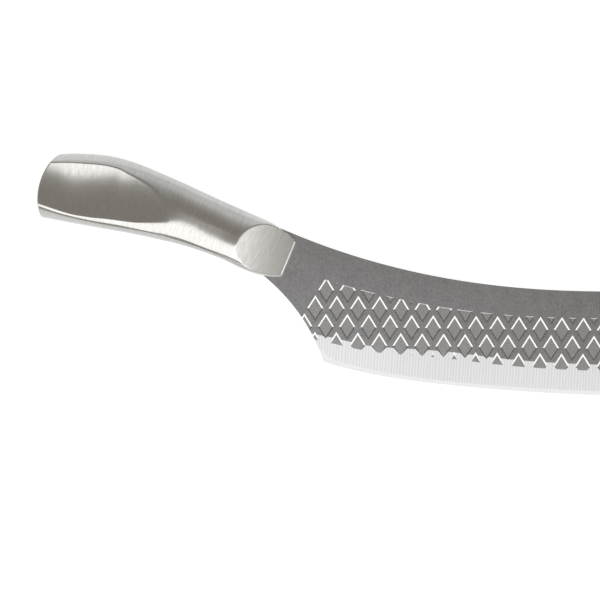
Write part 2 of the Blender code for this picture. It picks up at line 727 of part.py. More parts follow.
def make_handle(parts, cutters, finishes):
    """Make the bolster, both shells and the two fillings inside them."""
    slot = tang_slot(cutters)
    butt = butt_cutter("butt_cut", 0.0, cutters)
    inner_butt = butt_cutter("inner_butt_cut", BUTT_WALL, cutters)
    filling_butt = butt_cutter("filling_butt_cut", BUTT_WALL + GAP, cutters)
    hollow = as_cutter(make_core("hollow", BOLSTER_LENGTH - GAP, HANDLE_LENGTH + OVERSHOOT, SHELL_WALL,
                                 cutters))
    cut(hollow, inner_butt)

    pieces = [make_bolster(parts, cutters, slot, finishes["bolster"])]
    for name, side in (("handle_shell_right", 1), ("handle_shell_left", -1)):
        pieces.append(make_shell(name, side, parts, hollow, butt, finishes["handle"]))
    cement = make_core("tang_cement", BOLSTER_LENGTH + GAP, CEMENT_END, SHELL_WALL + GAP, parts)
    cut(cement, slot)
    cement.data.materials.append(finishes["cement"])
    sand = make_core("balance_sand", CEMENT_END + GAP, HANDLE_LENGTH + OVERSHOOT, SHELL_WALL + GAP, parts)
    cut(sand, filling_butt)
    sand.data.materials.append(finishes["sand"])
    return pieces + [cement, sand]


def handle_contact(place, height):
    """Give the point of the handle's left surface at a place along it and a height above its axis."""
    return Vector((*handle_point(place, height), -half_thickness(place, height)))


def blade_contact(further):
    """Give a point where the blade's left flat meets the bevel beside the belly, some steps further on."""
    path = belly_curve()
    index = round(CURVE_STEPS * REST_BELLY_SHARE) + further
    along = (path[index + 1] - path[index - 1]).normalized()
    inward = Vector((-along.y, along.x))
    return Vector((*(path[index] + inward * PRIMARY_HEIGHT), -BLADE_THICKNESS / 2))


def lay_down(pieces, tools):
    """Tip the knife onto its left side, the way it lies on a table, with its origin under its middle."""
    grip = handle_contact(REST_HANDLE_AT, scallop_edges(REST_HANDLE_AT)[1])
    normal = (blade_contact(0) - grip).cross(blade_contact(1) - grip)
    table = bpy.data.objects.new("table_rest", None)
    bpy.context.scene.collection.objects.link(table)
    table.rotation_mode = "QUATERNION"
    table.rotation_quaternion = normal.normalized().rotation_difference(Vector((0.0, 0.0, 1.0)))
    for piece in pieces + tools:
        piece.parent = table
    bpy.context.view_layer.update()

    depsgraph = bpy.context.evaluated_depsgraph_get()
    points = []
    for piece in pieces:
        evaluated = piece.evaluated_get(depsgraph)
        points += [piece.matrix_world @ vertex.co for vertex in evaluated.data.vertices]
    lows = [min(point[axis] for point in points) for axis in range(3)]
    highs = [max(point[axis] for point in points) for axis in range(3)]
    table.location = (-(lows[0] + highs[0]) / 2, -(lows[1] + highs[1]) / 2, -lows[2])
    bpy.context.view_layer.update()


def main():
    """Build the knife."""
    clear_scene()
    parts = collection("cheese_knife")
    cutters = collection("cutters")
    finishes = {
        "blade": steel("blade_steel", 0.47, 0.34),
        "bolster": steel("bolster_steel", 0.58, 0.28),
        "handle": steel("handle_steel", 0.55, 0.30),
        "cement": material("tang_cement", (0.62, 0.59, 0.53), 0.9, 0.0),
        "sand": material("balance_sand", (0.60, 0.50, 0.36), 0.95, 0.0),
    }
    blade = make_blade(parts, cutters, finishes["blade"])
    handle = make_handle(parts, cutters, finishes)
    lay_down([blade] + handle, list(cutters.objects))


main()
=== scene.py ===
"""Looks of a steel cheese knife: its ground blade, its bolster, its hollow handle and a plain studio.

Lengths are in metres. Shapes are drawn in the knife's plan: its origin is the middle of the bolster's front
face, X runs towards the tip, Y towards the spine and Z out of the knife's right side. The plan is then laid
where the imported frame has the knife, which lies on its left side.
"""

import json
import logging
import math
from dataclasses import dataclass
from enum import Enum

import bmesh
import bpy
import numpy as np
from mathutils import Matrix, Vector
from mathutils.geometry import interpolate_bezier


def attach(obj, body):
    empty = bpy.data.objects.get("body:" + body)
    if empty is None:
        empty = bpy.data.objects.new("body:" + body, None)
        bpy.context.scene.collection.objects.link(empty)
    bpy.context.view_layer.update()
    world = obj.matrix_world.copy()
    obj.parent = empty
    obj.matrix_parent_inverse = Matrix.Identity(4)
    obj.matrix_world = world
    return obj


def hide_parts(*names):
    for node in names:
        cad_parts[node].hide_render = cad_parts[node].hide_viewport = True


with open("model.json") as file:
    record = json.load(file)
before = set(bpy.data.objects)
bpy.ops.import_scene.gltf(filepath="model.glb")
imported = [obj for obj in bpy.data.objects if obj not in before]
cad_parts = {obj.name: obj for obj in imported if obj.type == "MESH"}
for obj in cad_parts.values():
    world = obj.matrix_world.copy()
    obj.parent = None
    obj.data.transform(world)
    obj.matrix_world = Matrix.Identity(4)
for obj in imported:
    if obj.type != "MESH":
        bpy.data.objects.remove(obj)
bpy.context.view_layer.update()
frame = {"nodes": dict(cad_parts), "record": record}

log = logging.getLogger("cheese_knife")

MM = 0.001
BODY = "root"

# The photograph's frame: its side in pixels, the plan's size of one pixel, and the plan point at its middle
IMAGE_SIDE = 600
PIXEL = 0.44 * MM
IMAGE_MIDDLE = (4.62 * MM, -18.08 * MM)

# Points this close together are one point
MERGE_DISTANCE = 0.001 * MM

# The distance between two bands of Blender's wave texture at a scale of 1
WAVE_PERIOD = math.pi / 10

# The map that the brushing follows: its name, and the stretch and the points of the axis that it is read from
BRUSH_MAP = "brushing"
MAP_REACH = (-5.0 * MM, 120.0 * MM)
MAP_POINTS = 126


class Side(Enum):
    """The two sides of the blade, by the sign of Z in the plan."""

    RIGHT = 1
    LEFT = -1


class BladeZone(Enum):
    """Material places of the blade, in the order of its slots."""

    FLAT = 0
    POCKET_FLOOR = 1
    UPPER_WALL = 2
    LOWER_WALL = 3
    BEVEL = 4
    EDGE = 5


def linear(code: str) -> tuple[float, float, float, float]:
    """Turn an sRGB hex colour into a linear one.

    Args:
        code: Six hex digits, such as "c8c4bd".

    Returns:
        Red, green, blue and an alpha of 1.
    """
    shares = [int(code[i:i + 2], 16) / 255 for i in (0, 2, 4)]
    red, green, blue = [c / 12.92 if c <= 0.04045 else ((c + 0.055) / 1.055) ** 2.4 for c in shares]
    return red, green, blue, 1.0


def add_node(tree: bpy.types.NodeTree, kind: str, settings: dict | None = None,
             links: dict | None = None) -> bpy.types.Node:
    """Add a node with its settings and its incoming links.

    Args:
        tree: The node tree.
        kind: The node's type.
        settings: Values by the name of a property, or else by the name or number of an input.
        links: Sockets to link, by the name or number of the input that each one feeds.

    Returns:
        The new node.
    """
    node = tree.nodes.new(kind)
    for key, value in (settings or {}).items():
        if isinstance(key, str) and hasattr(node, key):
            setattr(node, key, value)
        else:
            node.inputs[key].default_value = value
    for key, socket in (links or {}).items():
        tree.links.new(socket, node.inputs[key])
    return node


def only(piece: bpy.types.Object) -> None:
    """Select one object alone and make it the active one.

    Args:
        piece: The object.
    """
    bpy.ops.object.select_all(action="DESELECT")
    piece.select_set(True)
    bpy.context.view_layer.objects.active = piece


def edit(piece: bpy.types.Object, action: str) -> None:
    """Enter edit mode on a piece.

    Args:
        piece: The piece.
        action: SELECT to start with everything selected, or DESELECT.
    """
    only(piece)
    bpy.ops.object.mode_set(mode="EDIT")
    bpy.ops.mesh.select_all(action=action)


def leave_edit() -> None:
    """Go back to object mode."""
    bpy.ops.object.mode_set(mode="OBJECT")


def wrapped(name: str, rows: np.ndarray) -> bpy.types.Object:
    """Wrap a grid primitive round rows of points, close its seam and turn its faces outwards.

    Args:
        name: The new object's name.
        rows: Points as an array of rows, points in a row, and X, Y and Z. Each row closes on itself.

    Returns:
        The new object.
    """
    closed = np.concatenate([rows, rows[:, :1]], axis=1)
    high, wide = closed.shape[0] - 1, closed.shape[1] - 1
    bpy.ops.mesh.primitive_grid_add(x_subdivisions=wide, y_subdivisions=high, size=1.0, location=(0, 0, 0))
    piece = bpy.context.active_object
    piece.name = piece.data.name = name
    flat = np.zeros(len(piece.data.vertices) * 3)
    piece.data.vertices.foreach_get("co", flat)
    flat = flat.reshape(-1, 3)
    column = np.rint((flat[:, 0] + 0.5) * wide).astype(int)
    row = np.rint((flat[:, 1] + 0.5) * high).astype(int)
    piece.data.vertices.foreach_set("co", closed[row, column].ravel())
    edit(piece, "SELECT")
    bpy.ops.mesh.remove_doubles(threshold=MERGE_DISTANCE)
    bpy.ops.mesh.select_all(action="DESELECT")
    bpy.ops.mesh.select_non_manifold(extend=False)
    bpy.ops.mesh.fill_holes(sides=0)
    bpy.ops.mesh.select_all(action="SELECT")
    bpy.ops.mesh.normals_make_consistent(inside=False)
    leave_edit()
    return piece


def shrunk(row: np.ndarray, steps: int) -> np.ndarray:
    """Draw rows that shrink a closed row to its middle, to close a skin's end."""
    middle = row.mean(axis=0)
    return np.array([middle + (row - middle) * (1 - i / steps) for i in range(1, steps + 1)])


def plate(name: str, outline: list[Vector], thickness: float, flare: float = 0.0) -> bpy.types.Object:
    """Make a plate: a filled circle primitive, moved to an outline and extruded through its thickness.

    Args:
        name: The new object's name.
        outline: The outline's points in the plan, clockwise.
        thickness: The plate's thickness, half on each side of the plan.
        flare: How much further out than the outline its upper rim lies, and further in its lower one.

    Returns:
        The new object.
    """
    count = len(outline)
    along = [(outline[(i + 1) % count] - outline[i - 1]).normalized() for i in range(count)]
    outward = [Vector((-way.y, way.x)) * flare for way in along]
    bpy.ops.object.select_all(action="DESELECT")
    bpy.ops.mesh.primitive_circle_add(vertices=count, radius=1.0, fill_type="NGON", location=(0, 0, 0))
    piece = bpy.context.active_object
    piece.name = piece.data.name = name
    for vertex, point, out in zip(piece.data.vertices, outline, outward):
        vertex.co = (*(point - out), -thickness / 2)
    edit(piece, "SELECT")
    bpy.ops.mesh.extrude_region_move(TRANSFORM_OT_translate={"value": (0, 0, thickness)})
    bpy.ops.mesh.select_all(action="SELECT")
    bpy.ops.mesh.normals_make_consistent(inside=False)
    leave_edit()
    if flare:
        upper = [vertex for vertex in piece.data.vertices if vertex.co.z > 0]
        for vertex in upper:
            nearest = min(range(count), key=lambda i: (vertex.co.xy - outline[i] + outward[i]).length)
            vertex.co.xy = outline[nearest] + outward[nearest]
    return piece


def apply_modifier(piece: bpy.types.Object, kind: str, **settings: object) -> None:
    """Add a modifier to a piece, set it and apply it.

    Args:
        piece: The piece.
        kind: The modifier's type.
        **settings: Its settings, by the names of its properties.
    """
    only(piece)
    step = piece.modifiers.new(kind.lower(), kind)
    for key, value in settings.items():
        setattr(step, key, value)
    bpy.ops.object.modifier_apply(modifier=step.name)


def cut(piece: bpy.types.Object, tool: bpy.types.Object, operation: str = "DIFFERENCE") -> None:
    """Cut a piece with a tool shape, and throw the tool away."""
    apply_modifier(piece, "BOOLEAN", object=tool, operation=operation, solver="MANIFOLD")
    bpy.data.objects.remove(tool, do_unlink=True)


def sweep_path(path: list[Vector], profile: list[tuple[float, float]]) -> np.ndarray:
    """Carry a profile along a path whose inside is on its left.

    Args:
        path: The path's points in the plan.
        profile: Distances inwards from the path and heights above the plan.

    Returns:
        A row of points for each point of the path.
    """
    rows = []
    for i, point in enumerate(path):
        along = (path[min(i + 1, len(path) - 1)] - path[max(i - 1, 0)]).normalized()
        inward = Vector((-along.y, along.x))
        rows.append([(*(point + inward * inside), height) for inside, height in profile])
    return np.array(rows)


@dataclass(frozen=True)
class Bend:
    """How a curve towards the tip leaves a point and reaches the next: each slope, and how far it carries."""

    start_slope: float
    start_reach: float
    end_slope: float
    end_reach: float

    def between(self, start: Vector, end: Vector, steps: int) -> list[Vector]:
        """Draw the curve.

        Args:
            start: The first point in the plan.
            end: The last point.
            steps: How many steps the curve has.

        Returns:
            The curve's points, both ends with them.
        """
        first = start + Vector((1.0, self.start_slope)).normalized() * self.start_reach
        second = end - Vector((1.0, self.end_slope)).normalized() * self.end_reach
        return [Vector(point[:2]) for point in interpolate_bezier(start, first, second, end, steps + 1)]


@dataclass(frozen=True)
class Plan:
    """Where the knife's plan lies in the shared frame, read off the record's mount on the blade's flat."""

    mount_at: tuple[float, float, float] = (60.0 * MM, -13.4 * MM, 1.1 * MM)

    def matrix(self) -> Matrix:
        """Work out where the plan lies.

        Returns:
            The matrix that lays plan points in the shared frame.
        """
        mount = frame["record"]["mounts"][0]
        turn = Vector((0, 0, 1)).rotation_difference(Vector(mount["axis"])).to_matrix().to_4x4()
        return Matrix.Translation(Vector(mount["pos_m"]) - turn @ Vector(self.mount_at)) @ turn

    def lay(self, piece: bpy.types.Object) -> None:
        """Move a piece's mesh from the plan to its place, with its object left at the origin."""
        piece.data.transform(self.matrix())
        piece.data.update()


@dataclass(frozen=True)
class SizeLine:
    """A size that changes along a piece: stations joined by a curve, which is then evened out.

    Each station is a place and the size there. A size is a mean of several readings of the curve, up to
    evened_over to both sides, whose weights fall off outwards.
    """

    stations: tuple[tuple[float, float], ...]
    evened_over: float = 1.6 * MM
    readings: int = 9
    fall: float = 2.0

    def through(self, places: np.ndarray) -> np.ndarray:
        """Read the plain curve through the stations, level past both ends.

        Args:
            places: Places along the piece.

        Returns:
            The size at each place.
        """
        known, sizes = np.array(self.stations).T
        slopes = np.empty_like(sizes)
        slopes[1:-1] = (sizes[2:] - sizes[:-2]) / (known[2:] - known[:-2])
        slopes[0] = (sizes[1] - sizes[0]) / (known[1] - known[0])
        slopes[-1] = (sizes[-1] - sizes[-2]) / (known[-1] - known[-2])
        held = np.clip(places, known[0], known[-1])
        i = np.clip(np.searchsorted(known, held, side="right") - 1, 0, len(known) - 2)
        width = known[i + 1] - known[i]
        t = (held - known[i]) / width
        return ((2 * t ** 3 - 3 * t ** 2 + 1) * sizes[i] + (t ** 3 - 2 * t ** 2 + t) * width * slopes[i]
                + (3 * t ** 2 - 2 * t ** 3) * sizes[i + 1] + (t ** 3 - t ** 2) * width * slopes[i + 1])

    def at(self, places: np.ndarray) -> np.ndarray:
        """Read the evened curve.

        Args:
            places: Places along the piece.

        Returns:
            The size at each place.
        """
        offsets = np.linspace(-1.0, 1.0, self.readings)
        weights = np.exp(-self.fall * offsets ** 2)
        read = [weight * self.through(np.asarray(places) + offset * self.evened_over)
                for offset, weight in zip(offsets, weights)]
        return np.sum(read, axis=0) / weights.sum()


@dataclass(frozen=True)
class HandleAxis:
    """The handle's middle line: straight behind the blade, then bent down in one large arc."""

    lean: float = math.radians(22.6)
    straight: float = 41.0 * MM
    bend_radius: float = 214.0 * MM

    def at(self, places: np.ndarray) -> tuple[np.ndarray, np.ndarray, np.ndarray]:
        """Follow the axis.

        Args:
            places: Places along it, counted back from the bolster's front face.

        Returns:
            Plan points, forward directions and up directions, on the last axis of each array.
        """
        places = np.asarray(places, dtype=float)
        bent = np.maximum(places - self.straight, 0.0) / self.bend_radius
        lean = self.lean - bent
        forward = np.stack([np.cos(lean), -np.sin(lean)], axis=-1)
        up = np.stack([np.sin(lean), np.cos(lean)], axis=-1)
        first = np.array([math.cos(self.lean), -math.sin(self.lean)])
        chord_lean = self.lean - bent / 2
        chord = 2 * self.bend_radius * np.sin(bent / 2)
        points = (-first * np.minimum(places, self.straight)[..., None]
                  - np.stack([np.cos(chord_lean), -np.sin(chord_lean)], axis=-1) * chord[..., None])
        return points, forward, up

    def point(self, place: float, height: float) -> Vector:
        """Turn one place along the handle and a height above its axis into a plan point."""
        points, _, up = self.at(np.array(place))
        return Vector(points + up * height)


@dataclass(frozen=True)
class HandleForm:
    """The skin that the bolster and the hollow handle share, as half sections along the handle's axis.

    Places along the axis count back from the bolster's front face. Top, bottom and side are the section's
    distances from the axis, and the two kinds of squareness are the powers of its rounded corners, above and
    below the axis. The scallop's rims are measured from the top and the bottom. The lean tips the side in or
    out, and the keel is the narrow ridge that runs along the underside.
    """

    axis: HandleAxis = HandleAxis()
    length: float = 114.8 * MM
    butt_radius: float = 26.0 * MM
    butt_centre_drop: float = 3.0 * MM
    facet_radius: float = 80.0 * MM
    facet_length: float = 23.7 * MM
    front_thickness: float = 6.0 * MM
    scallop_radius: float = 85.0 * MM
    keel_slope: float = 1.25
    crease_softness: float = 0.22 * MM
    least_flank: float = 0.5 * MM
    table_step: float = 0.25 * MM
    table_margin: float = 4.0 * MM
    outline_points: int = 1441
    top_points: int = 56
    side_points: int = 64
    flank_points: int = 30
    keel_points: int = 16
    top: SizeLine = SizeLine((
        (0.0, 0.0078), (0.003, 0.0094), (0.0075, 0.0105), (0.013, 0.0116), (0.028, 0.0120), (0.044, 0.0125),
        (0.060, 0.01395), (0.0835, 0.01675), (0.100, 0.01575), (0.108, 0.0145), (0.1158, 0.0124)))
    bottom: SizeLine = SizeLine((
        (0.0, 0.0083), (0.003, 0.0100), (0.0075, 0.0111), (0.013, 0.01195), (0.020, 0.01195),
        (0.028, 0.01145), (0.044, 0.0123), (0.060, 0.01385), (0.0835, 0.01515), (0.100, 0.01487),
        (0.1158, 0.0133)))
    side: SizeLine = SizeLine((
        (0.0, 0.0083), (0.028, 0.0083), (0.044, 0.0087), (0.060, 0.0101), (0.0835, 0.0128), (0.1158, 0.0134)))
    upper_squareness: SizeLine = SizeLine((
        (0.0, 3.2), (0.012, 3.2), (0.020, 2.4), (0.026, 1.98), (0.040, 2.1), (0.050, 2.3), (0.055, 2.6),
        (0.062, 2.9), (0.068, 2.95), (0.075, 2.75), (0.0835, 2.5), (0.104, 2.5), (0.110, 2.75),
        (0.1158, 3.2)))
    lower_squareness: SizeLine = SizeLine((
        (0.0, 3.2), (0.016, 3.0), (0.022, 3.0), (0.028, 3.5), (0.036, 3.6), (0.044, 3.1), (0.050, 3.0),
        (0.057, 3.3), (0.063, 3.9), (0.070, 4.0), (0.078, 4.1), (0.086, 4.4), (0.096, 4.4), (0.104, 4.0),
        (0.110, 3.3), (0.1158, 2.6)))
    keel: SizeLine = SizeLine((
        (0.0, 0.0009), (0.0245, 0.0012), (0.044, 0.0018), (0.058, 0.0024), (0.0835, 0.0022), (0.105, 0.0032),
        (0.1158, 0.0047)))
    top_rim: SizeLine = SizeLine((
        (0.0558, 0.0164), (0.0579, 0.0129), (0.0612, 0.0102), (0.0658, 0.0077), (0.0702, 0.0066),
        (0.0778, 0.0055), (0.0822, 0.0046), (0.100, 0.0043), (0.108, 0.0037), (0.1158, 0.0024)), 0.8 * MM)
    bottom_rim: SizeLine = SizeLine((
        (0.0558, 0.0106), (0.0579, 0.0091), (0.0631, 0.0068), (0.0694, 0.0050), (0.0835, 0.0041),
        (0.0911, 0.00355), (0.100, 0.0035), (0.1158, 0.0054)), 0.8 * MM)
    lean: SizeLine = SizeLine((
        (0.0, 0.0), (0.012, 0.02), (0.020, 0.04), (0.026, 0.04), (0.0295, 0.022), (0.033, 0.0), (0.046, 0.0),
        (0.050, 0.01), (0.054, 0.05), (0.057, 0.12), (0.060, 0.14), (0.063, 0.125), (0.066, 0.112),
        (0.070, 0.09), (0.075, 0.045), (0.080, -0.02), (0.086, -0.065), (0.095, -0.08), (0.103, -0.085),
        (0.109, -0.055), (0.1158, -0.02)))
    side_half: SizeLine = SizeLine(((0.0, 0.0055), (0.030, 0.0050), (0.050, 0.0028), (0.120, 0.0028)))

    def softer(self, first: np.ndarray, second: np.ndarray) -> np.ndarray:
        """Take the lesser of two thicknesses, with a small round where they cross."""
        near = np.maximum(self.crease_softness - np.abs(first - second), 0.0) / self.crease_softness
        return np.minimum(first, second) - near ** 2 * self.crease_softness / 4

    def facet(self, place: float) -> float:
        """Hollow out the bolster's facet.

        Args:
            place: A place along the handle.

        Returns:
            The half thickness that the facet leaves there.
        """
        near = Vector((0.0, self.front_thickness / 2))
        far = Vector((self.facet_length, float(self.side.at(self.facet_length))))
        half_chord = (far - near).length / 2
        away = Vector((near.y - far.y, far.x - near.x)).normalized()
        wheel = (near + far) / 2 + away * math.sqrt(self.facet_radius ** 2 - half_chord ** 2)
        return wheel.y - math.sqrt(self.facet_radius ** 2 - (place - wheel.x) ** 2)

    def half_section(self, place: float) -> np.ndarray:
        """Draw the right half section at a place, from the middle of the top to the middle of the keel.

        Args:
            place: The place along the handle.

        Returns:
            Thicknesses and heights, one row for each point.
        """
        top, bottom, side = (float(line.at(place)) for line in (self.top, self.bottom, self.side))
        around = np.linspace(0.0, math.pi, self.outline_points)
        above_axis = around < math.pi / 2
        reach = np.where(above_axis, top, bottom)
        power = np.where(above_axis, self.upper_squareness.at(place), self.lower_squareness.at(place))
        height = reach * np.sign(np.cos(around)) * np.abs(np.cos(around)) ** (2 / power)
        lean = float(self.lean.at(place))
        thickness = side * np.abs(np.sin(around)) ** (2 / power) * (1 - lean * height / reach)

        upper = top - float(self.top_rim.at(place))
        lower = float(self.bottom_rim.at(place)) - bottom
        middle, half = (upper + lower) / 2, (upper - lower) / 2
        if half > 0:
            edge_up, edge_down = (float(np.interp(-edge, -height, thickness)) for edge in (upper, lower))
            share = (height - lower) / (upper - lower)
            chord = (1 - share) * edge_down + share * edge_up
            hollow = (np.sqrt(self.scallop_radius ** 2 - (height - middle) ** 2)
                      - math.sqrt(self.scallop_radius ** 2 - half ** 2))
            thickness = self.softer(thickness, chord - hollow)
        if place < self.facet_length:
            thickness = self.softer(thickness, np.full_like(thickness, self.facet(place)))
        thickness = np.maximum(thickness, 0.0)
        thickness[0] = thickness[-1] = 0.0

        keel_top = float(self.keel.at(place)) - bottom
        above = height > keel_top
        corner = float(np.interp(-keel_top, -height, thickness))
        skin = np.column_stack([np.append(thickness[above], corner), np.append(height[above], keel_top)])
        half = max(half, float(self.side_half.at(place)))
        marks = (np.inf, middle + half, max(middle - half, keel_top + self.least_flank), keel_top)
        parts = [self.spaced(skin, marks[i], marks[i + 1], count)
                 for i, count in enumerate((self.top_points, self.side_points, self.flank_points))]
        shares = 1.0 - np.linspace(0.0, 1.0, self.keel_points + 1) ** 2
        rise = keel_top + bottom
        curl = shares ** (self.keel_slope * corner / rise)
        keel = np.column_stack([corner * shares, -bottom + rise * curl])
        return np.concatenate(parts + [keel])

    def spaced(self, skin: np.ndarray, start: float, end: float, count: int) -> np.ndarray:
        """Spread points evenly along the part of a half section between two heights.

        Args:
            skin: The half section, from its top down.
            start: The upper height, or infinity for the top.
            end: The lower height.
            count: How many points there are.

        Returns:
            The points, without the one at the lower height.
        """
        run = np.concatenate([[0.0], np.cumsum(np.hypot(*np.diff(skin, axis=0).T))])
        first = 0.0 if math.isinf(start) else float(np.interp(-start, -skin[:, 1], run))
        last = float(np.interp(-end, -skin[:, 1], run))
        stops = np.linspace(first, last, count + 1)[:-1]
        return np.column_stack([np.interp(stops, run, skin[:, 0]), np.interp(stops, run, skin[:, 1])])

    def sections(self) -> tuple[np.ndarray, np.ndarray]:
        """Draw half sections over the whole handle: their places, and their thicknesses and heights."""
        places = np.arange(0.0, self.length + self.table_margin, self.table_step)
        return places, np.array([self.half_section(float(place)) for place in places])

    def both_sides(self, points: np.ndarray, thickness: np.ndarray) -> np.ndarray:
        """Close half rows into whole ones.

        Args:
            points: The plan points of each half row.
            thickness: The half thickness at each of them.

        Returns:
            Rows of points right round the handle.
        """
        right = np.concatenate([points, thickness[..., None]], axis=-1)
        left = right[:, -2:0:-1] * np.array([1.0, 1.0, -1.0])
        return np.concatenate([right, left], axis=1)

    def rows(self, stops: np.ndarray, inset: np.ndarray | float = 0.0) -> np.ndarray:
        """Draw rows of the skin right round the handle.

        Args:
            stops: The place of each row, or of each point of each half row.
            inset: How far each row lies inside the skin.

        Returns:
            Plan points, one row for each stop.
        """
        places, table = self.sections()
        count = table.shape[1]
        stops = stops if stops.ndim == 2 else np.repeat(stops[:, None], count, axis=1)
        inset = np.broadcast_to(np.asarray(inset), len(stops))[:, None]
        thickness = np.stack([np.interp(stops[:, i], places, table[:, i, 0]) for i in range(count)], axis=1)
        height = np.stack([np.interp(stops[:, i], places, table[:, i, 1]) for i in range(count)], axis=1)
        widest = thickness.max(axis=1, keepdims=True)
        reach = np.where(height > 0, height.max(axis=1, keepdims=True), -height.min(axis=1, keepdims=True))
        thickness = thickness * (1 - inset / widest)
        height = height * (1 - inset / reach)
        points, _, up = self.axis.at(stops)
        return self.both_sides(points + up * height[..., None], thickness)


def brush_map(piece: bpy.types.Object, axis: HandleAxis) -> None:
    """Give a handle piece a map in millimetres: U along the handle's axis and V across it.

    Args:
        piece: A piece whose mesh still lies in the plan.
        axis: The handle's axis.
    """
    mesh = piece.data
    places = np.linspace(*MAP_REACH, MAP_POINTS)
    line, forward, up = axis.at(places)
    co = np.zeros(len(mesh.vertices) * 3)
    mesh.vertices.foreach_get("co", co)
    co = co.reshape(-1, 3)
    nearest = np.argmin(((co[:, None, :2] - line[None]) ** 2).sum(axis=-1), axis=1)
    away = co[:, :2] - line[nearest]
    along = places[nearest] - (away * forward[nearest]).sum(axis=1)
    across = (away * up[nearest]).sum(axis=1)
    corners = np.zeros(len(mesh.loops), dtype=int)
    mesh.loops.foreach_get("vertex_index", corners)
    layer = mesh.uv_layers.new(name=BRUSH_MAP)
    layer.data.foreach_set("uv", (np.column_stack([along, across])[corners] / MM).ravel())


@dataclass(frozen=True)
class Finish:
    """What every finish has: two near colours, and a pattern that varies them and stands up a little.

    The height of the pattern, bump, is in millimetres.
    """

    name: str
    light: str
    dark: str
    roughness: float
    bump: float

    def begin(self) -> tuple[bpy.types.Material, bpy.types.NodeTree, bpy.types.Node]:
        """Start the material.

        Returns:
            The material, its node tree and its shader.
        """
        made = bpy.data.materials.new(self.name)
        made.use_nodes = True
        made.diffuse_color = linear(self.light)
        return made, made.node_tree, made.node_tree.nodes["Principled BSDF"]

    def pattern(self, tree: bpy.types.NodeTree, share: bpy.types.NodeSocket,
                height: bpy.types.NodeSocket) -> None:
        """Let the surface's colour and height follow a pattern.

        Args:
            tree: The material's node tree.
            share: Where the colour is light or dark.
            height: Where the surface is high or low.
        """
        shader = tree.nodes["Principled BSDF"]
        dark, light = linear(self.dark), linear(self.light)
        colour = add_node(tree, "ShaderNodeMix", {"data_type": "RGBA", 6: dark, 7: light}, {0: share})
        bump = add_node(tree, "ShaderNodeBump", {"Strength": 1.0, "Distance": self.bump * MM},
                        {"Height": height})
        tree.links.new(colour.outputs[2], shader.inputs["Base Color"])
        tree.links.new(bump.outputs["Normal"], shader.inputs["Normal"])
        shader.inputs["Roughness"].default_value = self.roughness

    def material(self) -> bpy.types.Material:
        """Build the material, which each kind of finish does in its own way."""
        raise NotImplementedError


@dataclass(frozen=True)
class BrushedSteel(Finish):
    """Stainless steel with fine uneven streaks, whose sizes are in millimetres.

    A real belt leaves lines of about 0.05 mm. They are drawn some ten times coarser, so that they show.
    Streaks that are about as long as they are wide make a mottle with no direction.
    """

    roughness: float = 0.22
    bump: float = 0.012
    roughness_spread: float = 0.05
    streak_width: float = 0.50
    streak_length: float = 4.5
    band_share: float = 0.2
    band_scale: float = 5.0
    anisotropy: float = 0.5
    noise_range: tuple[float, float] = (0.3, 0.7)
    on_map: bool = True

    def material(self) -> bpy.types.Material:
        """Build the material.

        Returns:
            Metal whose colour, roughness and bump follow streaks across the piece and broader bands of them.
        """
        made, tree, shader = self.begin()
        if self.on_map:
            place = add_node(tree, "ShaderNodeUVMap", {"uv_map": BRUSH_MAP}).outputs["UV"]
            unit = 1.0
        else:
            place = add_node(tree, "ShaderNodeTexCoord").outputs["Object"]
            unit = 1.0 / MM
        across = unit / self.streak_width
        along = unit / self.streak_length
        fine = add_node(tree, "ShaderNodeMapping", {"Scale": (across, along, along)}, {"Vector": place})
        streaks = add_node(tree, "ShaderNodeTexNoise", {"Scale": 1.0, "Detail": 3.0, "Roughness": 0.6},
                           {"Vector": fine.outputs["Vector"]})
        wide, long = across / self.band_scale, along / self.band_scale
        broad = add_node(tree, "ShaderNodeMapping", {"Scale": (wide, long, long)}, {"Vector": place})
        bands = add_node(tree, "ShaderNodeTexNoise", {"Scale": 1.0, "Detail": 2.0},
                         {"Vector": broad.outputs["Vector"]})
        both = add_node(tree, "ShaderNodeMix", {0: self.band_share},
                        {2: streaks.outputs["Fac"], 3: bands.outputs["Fac"]})
        least, most = self.noise_range
        share = add_node(tree, "ShaderNodeMapRange", {"From Min": least, "From Max": most},
                         {"Value": both.outputs[0]})
        self.pattern(tree, share.outputs["Result"], streaks.outputs["Fac"])
        rough = add_node(tree, "ShaderNodeMapRange",
                         {"To Min": self.roughness + self.roughness_spread / 2,
                          "To Max": self.roughness - self.roughness_spread / 2},
                         {"Value": share.outputs["Result"]})
        tree.links.new(rough.outputs["Result"], shader.inputs["Roughness"])
        if self.on_map:
            lines = add_node(tree, "ShaderNodeTangent", {"direction_type": "UV_MAP", "uv_map": BRUSH_MAP})
            tree.links.new(lines.outputs["Tangent"], shader.inputs["Tangent"])
        shader.inputs["Metallic"].default_value = 1.0
        shader.inputs["Anisotropic"].default_value = self.anisotropy
        return made


